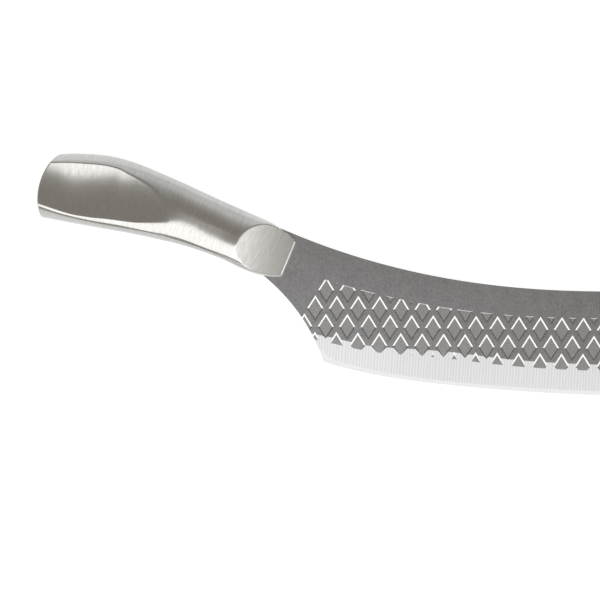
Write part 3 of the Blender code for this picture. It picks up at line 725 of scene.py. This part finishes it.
@dataclass(frozen=True)
class GroundSteel(Finish):
    """Bright stainless steel with nearly even lines across it, whose sizes are in millimetres.

    The real grit's lines are much finer, and they are drawn this far apart so that they show.
    """

    roughness: float = 0.20
    bump: float = 0.0006
    line_spacing: float = 1.3
    unevenness: float = 3.0
    line_length: float = 60.0
    turn: float = math.radians(4.0)

    def material(self) -> bpy.types.Material:
        """Build the material.

        Returns:
            Metal whose colour and bump follow parallel lines.
        """
        made, tree, shader = self.begin()
        place = add_node(tree, "ShaderNodeTexCoord").outputs["Object"]
        along = 1.0 / self.line_length
        turned = add_node(tree, "ShaderNodeMapping", {"Rotation": (0.0, 0.0, self.turn)}, {"Vector": place})
        drawn = add_node(tree, "ShaderNodeMapping", {"Scale": (1.0 / MM, along / MM, along / MM)},
                         {"Vector": turned.outputs["Vector"]})
        lines = add_node(tree, "ShaderNodeTexWave",
                         {"Scale": WAVE_PERIOD / self.line_spacing, "Distortion": self.unevenness,
                          "Detail": 2.0, "Detail Scale": 2.0}, {"Vector": drawn.outputs["Vector"]})
        self.pattern(tree, lines.outputs["Fac"], lines.outputs["Fac"])
        shader.inputs["Metallic"].default_value = 1.0
        return made


@dataclass(frozen=True)
class CastFiller(Finish):
    """A rough filling of mineral grains, whose size is in millimetres."""

    roughness: float = 0.9
    bump: float = 0.1
    grain: float = 0.5

    def material(self) -> bpy.types.Material:
        """Build the material.

        Returns:
            A dull surface with a speckle of its grains.
        """
        made, tree, _ = self.begin()
        place = add_node(tree, "ShaderNodeTexCoord").outputs["Object"]
        grains = add_node(tree, "ShaderNodeTexVoronoi", {"Scale": 1.0 / (self.grain * MM)}, {"Vector": place})
        self.pattern(tree, grains.outputs["Distance"], grains.outputs["Distance"])
        return made


# Stainless steel, belt-brushed across the grip: a soft sheen, broken by fine uneven streaks
HANDLE_STEEL = BrushedSteel(name="brushed_steel_handle", light="cfcfce", dark="bbbbb9")

# The same steel as a solid block, brushed on its own: a little paler, with a closer and crisper grain
BOLSTER_STEEL = BrushedSteel(name="brushed_steel_bolster", light="d7d7d6", dark="bfbfbd", streak_width=0.45,
                             streak_length=5.5, bump=0.015)

# Hardened blade steel, blasted to a satin: cool and dark beside the handle, with a faint mottle
FLAT_STEEL = BrushedSteel(name="satin_steel_blade", light="b9babf", dark="929498", roughness=0.20,
                          roughness_spread=0.03, streak_width=0.9, streak_length=1.3, bump=0.0002,
                          band_share=0.3, anisotropy=0.0, on_map=False)

# The same steel, coined under a die: the pocket's floor is a shade paler and duller than the flat round it
FLOOR_STEEL = BrushedSteel(name="coined_steel_pocket", light="b7b8bb", dark="9a9b9e", roughness=0.24,
                           roughness_spread=0.06, streak_width=0.6, streak_length=0.8, bump=0.001,
                           band_share=0.3, anisotropy=0.0, on_map=False)

# A paler copy of the steel on the pocket's upper walls, which face the lamp: a painted highlight that adds to
# their reflection, in thin bright lines
WALL_STEEL = BrushedSteel(name="coined_steel_painted_highlight_wall", light="d4d4d3", dark="cccccb", roughness=0.20,
                          roughness_spread=0.02, streak_width=0.5, streak_length=1.0, bump=0.0003,
                          band_share=0.3, anisotropy=0.0, on_map=False)

# A darker copy of the steel on the pocket's lower walls, which face away from the lamp: painted shade, in
# thin dark lines
SHADE_STEEL = BrushedSteel(name="coined_steel_painted_shade_wall", light="969694", dark="8b8b89", roughness=0.28,
                           roughness_spread=0.02, streak_width=0.5, streak_length=1.0, bump=0.0003,
                           band_share=0.3, anisotropy=0.0, on_map=False)

# Ground across on a wet belt: clear and bright beside the satin flat, with fine upright lines
BEVEL_STEEL = GroundSteel(name="ground_steel_bevel", light="bebfc1", dark="b3b4b6")

# Whetted on a fine wheel: a smooth bright band along the very edge
EDGE_STEEL = BrushedSteel(name="whetted_steel_edge", light="bdbec0", dark="b7b8ba", roughness=0.18,
                          roughness_spread=0.02, streak_width=0.3, streak_length=10.0, bump=0.0003,
                          band_share=0.2, anisotropy=0.0, on_map=False)

# Mineral-filled resin, poured and set: matt and chalky, if the handle were cut open
CEMENT = CastFiller(name="mineral_filled_resin", light="cfc9bd", dark="a59f93", grain=0.6)

# Quartz sand, rammed tight: matt, warm and speckled, if the handle were cut open
SAND = CastFiller(name="compacted_sand", light="cbb894", dark="8f7c5c", grain=0.35)


@dataclass
class Bolster:
    """The solid block behind the blade, ground flush into the handle, with a hollow facet on each side."""

    form: HandleForm
    length: float = 24.5 * MM
    front_round: float = 1.0 * MM
    row_step: float = 0.22 * MM
    round_steps: int = 6
    cap_steps: int = 3

    def build(self) -> bpy.types.Object:
        """Build the bolster.

        Returns:
            Its skin, in the plan.
        """
        turn = np.linspace(0.0, math.pi / 2, self.round_steps + 1)
        rounded = self.front_round * (1 - np.sin(turn))
        stops = np.arange(self.front_round + self.row_step, self.length, self.row_step)
        stops = np.concatenate([self.front_round * (1 - np.cos(turn)), stops, [self.length]])
        inset = np.concatenate([rounded, np.zeros(len(stops) - len(rounded))])
        rows = self.form.rows(stops, inset)
        front = shrunk(rows[0], self.cap_steps)[::-1]
        back = shrunk(rows[-1], self.cap_steps)
        return wrapped("bolster_block", np.concatenate([front, rows, back]))


@dataclass
class HollowHandle:
    """The grip: two pressed half shells, welded and ground into one skin, with a scallop on each side."""

    form: HandleForm
    row_steps: tuple[tuple[float, float], ...] = (
        (24.5 * MM, 0.55 * MM), (54.0 * MM, 0.25 * MM), (66.0 * MM, 0.45 * MM))
    butt_zone: float = 90.0 * MM
    butt_round: float = 0.6 * MM
    butt_dome: float = 0.05 * MM
    front_cap_steps: int = 3
    cap_steps: int = 14
    round_steps: int = 8
    butt_rows: int = 50

    def side_stops(self) -> np.ndarray:
        """Space the rows in front of the butt, closer together at the scallop's front.

        Returns:
            Their places along the handle.
        """
        ends = [start for start, _ in self.row_steps[1:]] + [self.butt_zone]
        runs = [np.arange(start, end, step) for (start, step), end in zip(self.row_steps, ends)]
        return np.concatenate(runs)

    def butt_frame(self) -> tuple[np.ndarray, np.ndarray, np.ndarray]:
        """Give the middle of the butt's round in the plan, with its forward and its up direction."""
        point, forward, up = self.form.axis.at(np.array(self.form.length - self.form.butt_radius))
        return point - up * self.form.butt_centre_drop, forward, up

    def butt_stops(self, table: np.ndarray, places: np.ndarray) -> np.ndarray:
        """Find where each line of the skin meets the start of the butt's rounded edge.

        Args:
            table: The half sections along the handle.
            places: Their places.

        Returns:
            The place where each line ends.
        """
        centre, forward, up = self.butt_frame()
        found = []
        points, _, ups = self.form.axis.at(places)
        for i in range(table.shape[1]):
            away = points + ups * table[:, i, 1][:, None] - centre
            across = np.clip(away @ up / self.form.butt_radius, -1.0, 1.0)
            past = -(away @ forward) - (self.form.butt_radius * np.sqrt(1 - across ** 2) - self.butt_round)
            last = np.nonzero(past < 0)[0][-1]
            found.append(np.interp(0.0, past[last:last + 2], places[last:last + 2]))
        return np.array(found)

    def build(self) -> bpy.types.Object:
        """Build the grip.

        Returns:
            Its skin, in the plan.
        """
        form = self.form
        places, table = form.sections()
        ends = self.butt_stops(table, places)
        sides = form.rows(self.side_stops())
        shares = np.linspace(0.0, 1.0, self.butt_rows)[:, None]
        last = form.rows(self.butt_zone + shares * (ends - self.butt_zone)[None, :])
        edge = last[-1]

        centre, forward, up = self.butt_frame()
        away = edge[:, :2] - centre
        height = away @ up
        depth = edge[:, 2]
        closing = []
        turns = np.linspace(0.0, math.pi / 2, self.round_steps + 1)[1:]
        for turn in turns:
            inset = self.butt_round * (1 - math.cos(turn))
            closing.append((height * (1 - inset / np.abs(height).max()), depth * (1 - inset / depth.max()),
                            self.butt_round * (1 - math.sin(turn)), 0.0))
        shrunk_height, shrunk_depth = closing[-1][:2]
        for i in range(1, self.cap_steps + 1):
            share = 1 - i / self.cap_steps
            dome = self.butt_dome * (1 - share ** 2)
            closing.append((shrunk_height * share, shrunk_depth * share, 0.0, dome))
        cap = []
        for high, deep, before, dome in closing:
            reach = np.sqrt(form.butt_radius ** 2 - high ** 2) - before + dome
            cap.append(np.column_stack([centre - np.outer(reach, forward) + np.outer(high, up), deep]))
        front = shrunk(sides[0], self.front_cap_steps)[::-1]
        return wrapped("hollow_handle", np.concatenate([front, sides, last, np.array(cap)]))


@dataclass
class Blade:
    """The ground blade, with rows of shallow diamond pockets on both sides.

    Its outline is made of bends between a few points of the plan. The height of the primary bevel is given
    along X, from the bolster to the tip.
    """

    axis: HandleAxis = HandleAxis()
    thickness: float = 2.2 * MM
    tip: tuple[float, float] = (198.2 * MM, -10.6 * MM)
    spine_low: tuple[float, float] = (141.0 * MM, -14.3 * MM)
    heel: tuple[float, float] = (14.9 * MM, -45.0 * MM)
    edge_turn: tuple[float, float] = (31.0 * MM, -49.6 * MM)
    edge_low: tuple[float, float] = (154.2 * MM, -60.2 * MM)
    spine_sweep: Bend = Bend(-0.44, 62.1 * MM, 0.0, 35.5 * MM)
    spine_rise: Bend = Bend(0.0, 20.0 * MM, 0.12, 20.0 * MM)
    notch_sweep: Bend = Bend(-0.80, 23.1 * MM, -3.0, 8.5 * MM)
    corner_sweep: Bend = Bend(-0.58, 2.5 * MM, -0.235, 7.0 * MM)
    edge_sweep: Bend = Bend(-0.235, 24.0 * MM, 0.0, 42.0 * MM)
    belly_sweep: Bend = Bend(0.0, 25.0 * MM, 2.7, 26.2 * MM)
    shoulder_at: float = 9.0 * MM
    shoulder_top: float = 10.95 * MM
    shoulder_bottom: float = 10.8 * MM
    root_depth: float = 14.0 * MM
    root_half: float = 8.5 * MM
    primary_foot: float = 0.34 * MM
    secondary_height: float = 1.8 * MM
    secondary_slope: float = 0.138
    edge_land: float = 0.1 * MM
    spine_round: float = 0.25 * MM
    spine_segments: int = 4
    pocket_depth: float = 0.19 * MM
    pocket_half_width: float = 3.6 * MM
    pocket_half_height: float = 5.7 * MM
    wall_run: float = 0.62 * MM
    pitch: float = 9.44 * MM
    row_pitch: float = 8.0 * MM
    lattice_turn: float = math.radians(-0.8)
    lattice_at: tuple[float, float] = (58.3 * MM, -38.4 * MM)
    columns: int = 22
    columns_behind: int = 6
    rows: int = 9
    rows_below: int = 4
    lattice_start: tuple[float, float] = (16.1 * MM, -9.2 * MM)
    lattice_sweep: Bend = Bend(-0.30, 50.4 * MM, 0.0, 42.8 * MM)
    lattice_low: float = -26.1 * MM
    lattice_corner_run: float = 2.1 * MM
    lattice_rear_rows: int = 6
    lattice_tip_margin: float = 30.0 * MM
    bevel_lead: float = 60.0 * MM
    overshoot: float = 4.0 * MM
    steps: int = 48
    flat_upright: float = 0.99999
    bevel_upright: tuple[float, float] = (0.996, 0.9985)
    edge_upright: tuple[float, float] = (0.985, 0.995)
    wall_play: float = 0.03
    outline_crease: float = math.radians(40)
    zone_crease: float = math.radians(1.5)
    primary_height: SizeLine = SizeLine((
        (0.0, 0.0105), (0.018, 0.0110), (0.033, 0.0120), (0.051, 0.0137), (0.063, 0.0144), (0.071, 0.0145),
        (0.088, 0.0139), (0.102, 0.0135), (0.127, 0.0134), (0.200, 0.0134)))

    def spine(self) -> list[Vector]:
        """Draw the back of the blade.

        Returns:
            Its points, from the shoulder to the tip.
        """
        start = self.axis.point(self.shoulder_at, self.shoulder_top)
        low = Vector(self.spine_low)
        sweep = self.spine_sweep.between(start, low, self.steps)
        rise = self.spine_rise.between(low, Vector(self.tip), self.steps // 2)
        return sweep + rise[1:]

    def heel_notch(self) -> list[Vector]:
        """Draw the notch behind the heel, from the shoulder to the heel's corner."""
        start = self.axis.point(self.shoulder_at, -self.shoulder_bottom)
        return self.notch_sweep.between(start, Vector(self.heel), self.steps // 2)

    def corner(self) -> list[Vector]:
        """Draw the rounded start of the cutting edge."""
        return self.corner_sweep.between(Vector(self.heel), Vector(self.edge_turn), self.steps // 3)

    def long_edge(self) -> list[Vector]:
        """Draw the rest of the cutting edge.

        Returns:
            The points of its long sweep, and of the belly up to the tip.
        """
        low = Vector(self.edge_low)
        sweep = self.edge_sweep.between(Vector(self.edge_turn), low, self.steps)
        belly = self.belly_sweep.between(low, Vector(self.tip), self.steps)
        return sweep + belly[1:]

    def outline(self) -> list[Vector]:
        """Draw the blade with the root that the bolster hides.

        Returns:
            The outline's points, clockwise from the shoulder.
        """
        edge = self.corner() + self.long_edge()[1:]
        root = [self.axis.point(self.root_depth, height) for height in (-self.root_half, self.root_half)]
        return self.spine() + edge[::-1][1:] + self.heel_notch()[::-1][1:] + root

    def extended(self, path: list[Vector], before: float, after: float) -> list[Vector]:
        """Lengthen a path straight on at both ends.

        Args:
            path: The path's points.
            before: How far it grows at its start.
            after: How far it grows at its end.

        Returns:
            The longer path.
        """
        first = path[0] - (path[1] - path[0]).normalized() * before
        last = path[-1] + (path[-1] - path[-2]).normalized() * after
        return [first] + path + [last]

    def bevel_tool(self, path: list[Vector], foot: float, slopes: np.ndarray, run: float,
                   side: Side) -> bpy.types.Object:
        """Make the wedge that grinds one bevel away from one side.

        Args:
            path: The cutting edge, with its inside on the left.
            foot: The blade's thickness at the edge.
            slopes: How fast one side rises inwards from the edge, for each point of the path.
            run: How far inwards the wedge reaches.
            side: The side that is ground.

        Returns:
            The wedge.
        """
        profile = [(-self.overshoot, foot / 2), (0.0, foot / 2), (run, foot / 2),
                   (run, self.thickness), (-self.overshoot, self.thickness)]
        rows = sweep_path(path, profile)
        rows[:, 2, 2] += slopes * run
        rows[:, 3:, 2] += slopes[:, None] * run
        return wrapped("bevel_tool", rows * np.array([1.0, 1.0, side.value]))

    def lattice_zone(self) -> list[Vector]:
        """Draw the area that the pockets fill.

        Returns:
            The points of its outline: under a line that follows the spine, and clear of the tip.
        """
        start = Vector(self.lattice_start)
        low = Vector((self.spine_low[0], self.lattice_low))
        top = self.lattice_sweep.between(start, low, self.steps)
        corner = start - Vector((self.lattice_corner_run, 0.0))
        foot = corner - Vector((self.pitch / 2, self.row_pitch)) * self.lattice_rear_rows
        end = self.tip[0] - self.lattice_tip_margin
        below = self.edge_low[1]
        return [corner] + top + [Vector((end, low.y)), Vector((end, below)), Vector((foot.x, below))]

    def pocket_tool(self, side: Side) -> bpy.types.Object:
        """Make one side's pockets: a four-sided cone, repeated both ways and trimmed to the lattice's area.

        Args:
            side: The side that is pressed.

        Returns:
            The tool that cuts all the pockets of that side.
        """
        half = np.array([self.pocket_half_width, self.pocket_half_height])
        inradius = half.prod() / np.hypot(*half)
        bpy.ops.object.select_all(action="DESELECT")
        bpy.ops.mesh.primitive_cone_add(vertices=4, radius1=1 - self.wall_run / inradius,
                                        radius2=1 + self.wall_run / inradius, depth=2 * self.pocket_depth,
                                        location=(0, 0, 0))
        tool = bpy.context.active_object
        tool.name = "pocket_tool"
        tool.data.transform(Matrix.Diagonal((half[0], half[1], 1.0, 1.0)))
        turn = Matrix.Rotation(self.lattice_turn, 3, "Z")
        tool.data.transform(turn.to_4x4())
        along = turn @ Vector((self.pitch, 0, 0))
        across = turn @ Vector((self.pitch / 2, self.row_pitch, 0))
        middle = Vector((*self.lattice_at, self.thickness / 2))
        first = middle - along * self.columns_behind - across * self.rows_below
        tool.data.transform(Matrix.Translation(first))
        for count, offset in ((self.columns, along), (self.rows, across)):
            apply_modifier(tool, "ARRAY", count=count, use_relative_offset=False, use_constant_offset=True,
                           constant_offset_displace=offset)
        zone = plate("lattice_zone", self.lattice_zone(), 4 * self.pocket_depth, self.wall_run)
        zone.data.transform(Matrix.Translation((0, 0, self.thickness / 2)))
        cut(tool, zone, "INTERSECT")
        if side is Side.LEFT:
            tool.data.transform(Matrix.Diagonal((1.0, 1.0, -1.0, 1.0)))
            tool.data.flip_normals()
        return tool

    def round_spine(self, piece: bpy.types.Object) -> None:
        """Break the plate's sharp outline on both faces with the bevel operator.

        Args:
            piece: The plate.
        """
        edit(piece, "DESELECT")
        mesh = bmesh.from_edit_mesh(piece.data)
        for edge in mesh.edges:
            heights = [vertex.co.z for vertex in edge.verts]
            edge.select = abs(heights[0] - heights[1]) < MERGE_DISTANCE
        bmesh.update_edit_mesh(piece.data)
        bpy.ops.mesh.bevel(offset=self.spine_round, segments=self.spine_segments, profile=0.5)
        leave_edit()

    def zone_of(self, face: bmesh.types.BMFace) -> BladeZone:
        """Tell which finish a face of the blade has, by its tilt and its depth.

        Args:
            face: The face.

        Returns:
            Its zone.
        """
        upright = abs(face.normal.z)
        depth = self.thickness / 2 - abs(face.calc_center_median().z)
        wall_upright = math.cos(math.atan(self.pocket_depth / self.wall_run))
        if upright > self.flat_upright:
            return BladeZone.POCKET_FLOOR if depth > self.pocket_depth / 2 else BladeZone.FLAT
        if self.bevel_upright[0] < upright < self.bevel_upright[1]:
            return BladeZone.BEVEL
        if self.edge_upright[0] < upright < self.edge_upright[1] and depth > self.thickness / 4:
            return BladeZone.EDGE
        if abs(upright - wall_upright) < self.wall_play and depth < self.pocket_depth:
            # Walls that face the lamp's side take the pale copy of the steel, a painted highlight, and walls
            # that face away take the dark copy, painted shade
            return BladeZone.LOWER_WALL if face.normal.y > 0 else BladeZone.UPPER_WALL
        return BladeZone.FLAT

    def shade(self, piece: bpy.types.Object) -> None:
        """Give each face its finish's slot, and keep the ground and pressed edges crisp.

        Args:
            piece: The blade, with all its cuts.
        """
        only(piece)
        bpy.ops.object.shade_smooth()
        piece.data.materials.clear()  # the cuts leave an empty slot behind
        mesh = bmesh.new()
        mesh.from_mesh(piece.data)
        for face in mesh.faces:
            face.material_index = self.zone_of(face).value
        for edge in mesh.edges:
            zones = {face.material_index for face in edge.link_faces}
            crease = self.outline_crease if zones == {BladeZone.FLAT.value} else self.zone_crease
            edge.smooth = edge.calc_face_angle(0.0) < crease
        mesh.to_mesh(piece.data)
        mesh.free()
        apply_modifier(piece, "WEIGHTED_NORMAL", keep_sharp=True, weight=100)

    def build(self) -> bpy.types.Object:
        """Build the blade.

        Returns:
            The finished blade, in the plan.
        """
        blade = plate("ground_blade", self.outline(), self.thickness)
        self.round_spine(blade)
        long = self.extended(self.long_edge(), self.bevel_lead, self.overshoot)
        whole = self.extended(self.corner() + self.long_edge()[1:], self.overshoot, self.overshoot)
        heights = self.primary_height.at(np.array([point.x for point in long]))
        primary_slopes = (self.thickness - self.primary_foot) / 2 / heights
        secondary_slopes = np.full(len(whole), self.secondary_slope)
        for side in Side:
            cut(blade, self.pocket_tool(side))
        for side in Side:
            cut(blade, self.bevel_tool(long, self.primary_foot, primary_slopes,
                                       heights.max() + self.overshoot / 2, side))
            cut(blade, self.bevel_tool(whole, self.edge_land, secondary_slopes,
                                       self.secondary_height + self.overshoot, side))
        apply_modifier(blade, "WELD", merge_threshold=MERGE_DISTANCE)  # the cuts leave doubled points
        self.shade(blade)
        return blade


@dataclass
class Knife:
    """The whole knife: the three pieces that show, and the two fillings inside its handle."""

    plan: Plan = Plan()
    form: HandleForm = HandleForm()
    skin_crease: float = math.radians(35)

    def place(self, piece: bpy.types.Object, finishes: list[Finish], slot: str, nodes: list[str]) -> None:
        """Dress a finished piece, lay it in the shared frame and tie it to the CAD.

        Args:
            piece: The piece, drawn in the plan.
            finishes: Its finishes, in the order of its slots.
            slot: The record's material slot; it is not used.
            nodes: The CAD nodes that it stands for.
        """
        for finish in finishes:
            piece.data.materials.append(finish.material())
        self.plan.lay(piece)
        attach(piece, BODY)
        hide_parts(*nodes)
        log.info("%s: %d faces for %s", piece.name, len(piece.data.polygons), ", ".join(nodes))

    def make_blade(self) -> None:
        """Build and dress the blade."""
        finishes = [FLAT_STEEL, FLOOR_STEEL, WALL_STEEL, SHADE_STEEL, BEVEL_STEEL, EDGE_STEEL]
        self.place(Blade().build(), finishes, "blade_steel", ["blade"])

    def make_bolster(self) -> None:
        """Build and dress the bolster."""
        self.skin(Bolster(self.form).build(), BOLSTER_STEEL, "bolster_steel", ["bolster"])

    def make_handle(self) -> None:
        """Build and dress the grip."""
        self.skin(HollowHandle(self.form).build(), HANDLE_STEEL, "handle_steel",
                  ["handle_shell_right", "handle_shell_left"])

    def skin(self, piece: bpy.types.Object, finish: Finish, slot: str, nodes: list[str]) -> None:
        """Shade, map and place a piece of the handle's skin.

        Args:
            piece: The piece, drawn in the plan.
            finish: Its finish.
            slot: The record's material slot.
            nodes: The CAD nodes that it stands for.
        """
        only(piece)
        bpy.ops.object.shade_smooth_by_angle(angle=self.skin_crease)
        brush_map(piece, self.form.axis)
        self.place(piece, [finish], slot, nodes)

    def dress_fillings(self) -> None:
        """Give the fillings that stay as CAD nodes their own materials."""
        for node, finish in (("tang_cement", CEMENT), ("balance_sand", SAND)):
            mesh = frame["nodes"][node].data
            mesh.materials.clear()
            mesh.materials.append(finish.material())
            log.info("%s: dressed where it is", node)


@dataclass
class Studio:
    """A white table under one broad soft light, which comes down far to the side of the cutting edge.

    Its three panels are a tent: one overhead, one in front of the cutting edge and one beyond the tip. The
    room is dim, and its far wall is pale: the wall comes in from the first to the second of far_wall_heights,
    and from the first to the second of far_wall_sides along far_way.
    """

    plan: Plan = Plan()
    lens: float = 200.0
    sensor: float = 36.0
    camera_reach: float = 100.0
    floor_side: float = 16.0
    tent_height: float = 3.0
    tent_start: float = 0.24
    tent_reach: float = 6.0
    tent_width: float = 9.0
    tent_gap: float = 1.7
    tent_turn: float = math.radians(-16.0)
    brightness: float = 1.45
    overhead_room: tuple[float, float, float] = (0.31, 0.285, 0.25)
    far_wall: tuple[float, float, float] = (0.79, 0.79, 0.78)
    far_way: tuple[float, float, float] = (0.45, 0.89, 0.0)
    far_wall_heights: tuple[float, float] = (1.0, 0.40)
    far_wall_sides: tuple[float, float] = (-0.3, 0.3)
    table_colour: str = "f4f4f4"
    table_shown_colour: str = "838383"
    table_camera_glow: float = 0.90
    table_metal_glow: float = 0.80

    def make_camera(self) -> None:
        """Point a long lens straight at the blade's flat, with the photograph's middle in the middle."""
        matrix = self.plan.matrix()
        distance = IMAGE_SIDE * PIXEL * self.lens / self.sensor
        data = bpy.data.cameras.new("camera")
        data.type = "PERSP"
        data.lens = self.lens
        data.sensor_width = self.sensor
        data.clip_end = self.camera_reach
        camera = bpy.data.objects.new("camera", data)
        bpy.context.scene.collection.objects.link(camera)
        camera.matrix_world = matrix @ Matrix.Translation((*IMAGE_MIDDLE, distance))
        bpy.context.scene.camera = camera

    def panel(self, name: str, middle: tuple[float, float, float], width: float, height: float,
              facing: tuple[float, float, float]) -> None:
        """Hang a soft panel light of the studio's brightness.

        Args:
            name: The light's name.
            middle: Its middle.
            width: Its size along X.
            height: Its other size.
            facing: The direction that it shines in.
        """
        data = bpy.data.lights.new(name, "AREA")
        data.shape = "RECTANGLE"
        data.size, data.size_y = width, height
        data.energy = self.brightness * math.pi * width * height
        light = bpy.data.objects.new(name, data)
        bpy.context.scene.collection.objects.link(light)
        light.matrix_world = (Matrix.Rotation(self.tent_turn, 4, "Z") @ Matrix.Translation(middle)
                              @ (-Vector(facing)).to_track_quat("Z", "Y").to_matrix().to_4x4())
        light.visible_camera = False

    def make_lights(self) -> None:
        """Hang the overhead panel, which stops just short of the zenith, and the two upright panels."""
        self.panel("overhead_softbox", (0.0, -(self.tent_start + self.tent_reach) / 2, self.tent_height),
                   self.tent_width, self.tent_reach - self.tent_start, (0, 0, -1))
        self.panel("front_softbox", (0.0, -self.tent_reach, (self.tent_height + self.tent_gap) / 2),
                   self.tent_width, self.tent_height - self.tent_gap, (0, 1, 0))
        self.panel("tip_softbox",
                   (self.tent_width / 2, -self.tent_reach / 2, (self.tent_height + self.tent_gap) / 2),
                   self.tent_reach, self.tent_height - self.tent_gap, (-1, 0, 0))

    def make_world(self) -> None:
        """Surround the table with a dim room, which the camera itself sees as white."""
        world = bpy.data.worlds.new("studio")
        bpy.context.scene.world = world
        world.use_nodes = True
        tree = world.node_tree
        path = add_node(tree, "ShaderNodeLightPath")
        place = add_node(tree, "ShaderNodeTexCoord")
        split = add_node(tree, "ShaderNodeSeparateXYZ", links={0: place.outputs["Generated"]})
        away = add_node(tree, "ShaderNodeVectorMath", {"operation": "DOT_PRODUCT", 1: self.far_way},
                        {0: place.outputs["Generated"]})
        lower = add_node(tree, "ShaderNodeMapRange",
                         {"interpolation_type": "SMOOTHSTEP", "From Min": self.far_wall_heights[0],
                          "From Max": self.far_wall_heights[1]},
                         {"Value": split.outputs["Z"]})
        behind = add_node(tree, "ShaderNodeMapRange",
                          {"From Min": self.far_wall_sides[0], "From Max": self.far_wall_sides[1]},
                          {"Value": away.outputs["Value"]})
        share = add_node(tree, "ShaderNodeMath", {"operation": "MULTIPLY"},
                         {0: lower.outputs["Result"], 1: behind.outputs["Result"]})
        room = add_node(tree, "ShaderNodeMix", {"data_type": "RGBA", 6: (*self.overhead_room, 1.0),
                                                7: (*self.far_wall, 1.0)}, {0: share.outputs["Value"]})
        colour = add_node(tree, "ShaderNodeMix", {"data_type": "RGBA", 7: (1.0, 1.0, 1.0, 1.0)},
                          {0: path.outputs["Is Camera Ray"], 6: room.outputs[2]})
        tree.links.new(colour.outputs[2], tree.nodes["Background"].inputs["Color"])

    def make_floor(self) -> None:
        """Lay the white table, which keeps the knife's soft shadow."""
        bpy.ops.object.select_all(action="DESELECT")
        bpy.ops.mesh.primitive_plane_add(size=self.floor_side, location=(0, 0, 0))
        floor = bpy.context.active_object
        floor.name = "table"
        # Matt white laminate, with no glare: an even white that keeps the knife's soft shadow. The camera and
        # the steel also see a glow in it
        made = bpy.data.materials.new("white_laminate_table")
        made.use_nodes = True
        tree = made.node_tree
        shader = tree.nodes["Principled BSDF"]
        shader.inputs["Roughness"].default_value = 0.8
        shader.inputs["Specular IOR Level"].default_value = 0.0
        path = add_node(tree, "ShaderNodeLightPath")
        metal = add_node(tree, "ShaderNodeMath", {"operation": "MAXIMUM"},
                         {0: path.outputs["Is Glossy Ray"], 1: path.outputs["Is Transmission Ray"]})
        shown = add_node(tree, "ShaderNodeMath", {"operation": "MAXIMUM"},
                         {0: path.outputs["Is Camera Ray"], 1: metal.outputs["Value"]})
        lit, seen_lit = linear(self.table_colour), linear(self.table_shown_colour)
        colour = add_node(tree, "ShaderNodeMix", {"data_type": "RGBA", 6: lit, 7: seen_lit},
                          {0: shown.outputs["Value"]})
        tree.links.new(colour.outputs[2], shader.inputs["Base Color"])
        seen = add_node(tree, "ShaderNodeMath", {"operation": "MULTIPLY", 1: self.table_camera_glow},
                        {0: path.outputs["Is Camera Ray"]})
        glow = add_node(tree, "ShaderNodeMath", {"operation": "MULTIPLY_ADD", 1: self.table_metal_glow},
                        {0: metal.outputs["Value"], 2: seen.outputs["Value"]})
        shader.inputs["Emission Color"].default_value = (1.0, 1.0, 1.0, 1.0)
        tree.links.new(glow.outputs["Value"], shader.inputs["Emission Strength"])
        floor.data.materials.append(made)

    def build(self) -> None:
        """Set up the camera, the lights, the room and the table."""
        self.make_camera()
        self.make_lights()
        self.make_world()
        self.make_floor()
        bpy.context.scene.view_settings.view_transform = "Standard"
        log.info("studio: camera, lights and table are in place")


def main() -> None:
    """Build the studio and the knife."""
    logging.basicConfig(level=logging.INFO, format="%(name)s: %(message)s")
    Studio().build()
    knife = Knife()
    knife.make_blade()
    knife.make_bolster()
    knife.make_handle()
    knife.dress_fillings()


if __name__ == "__main__":
    main()
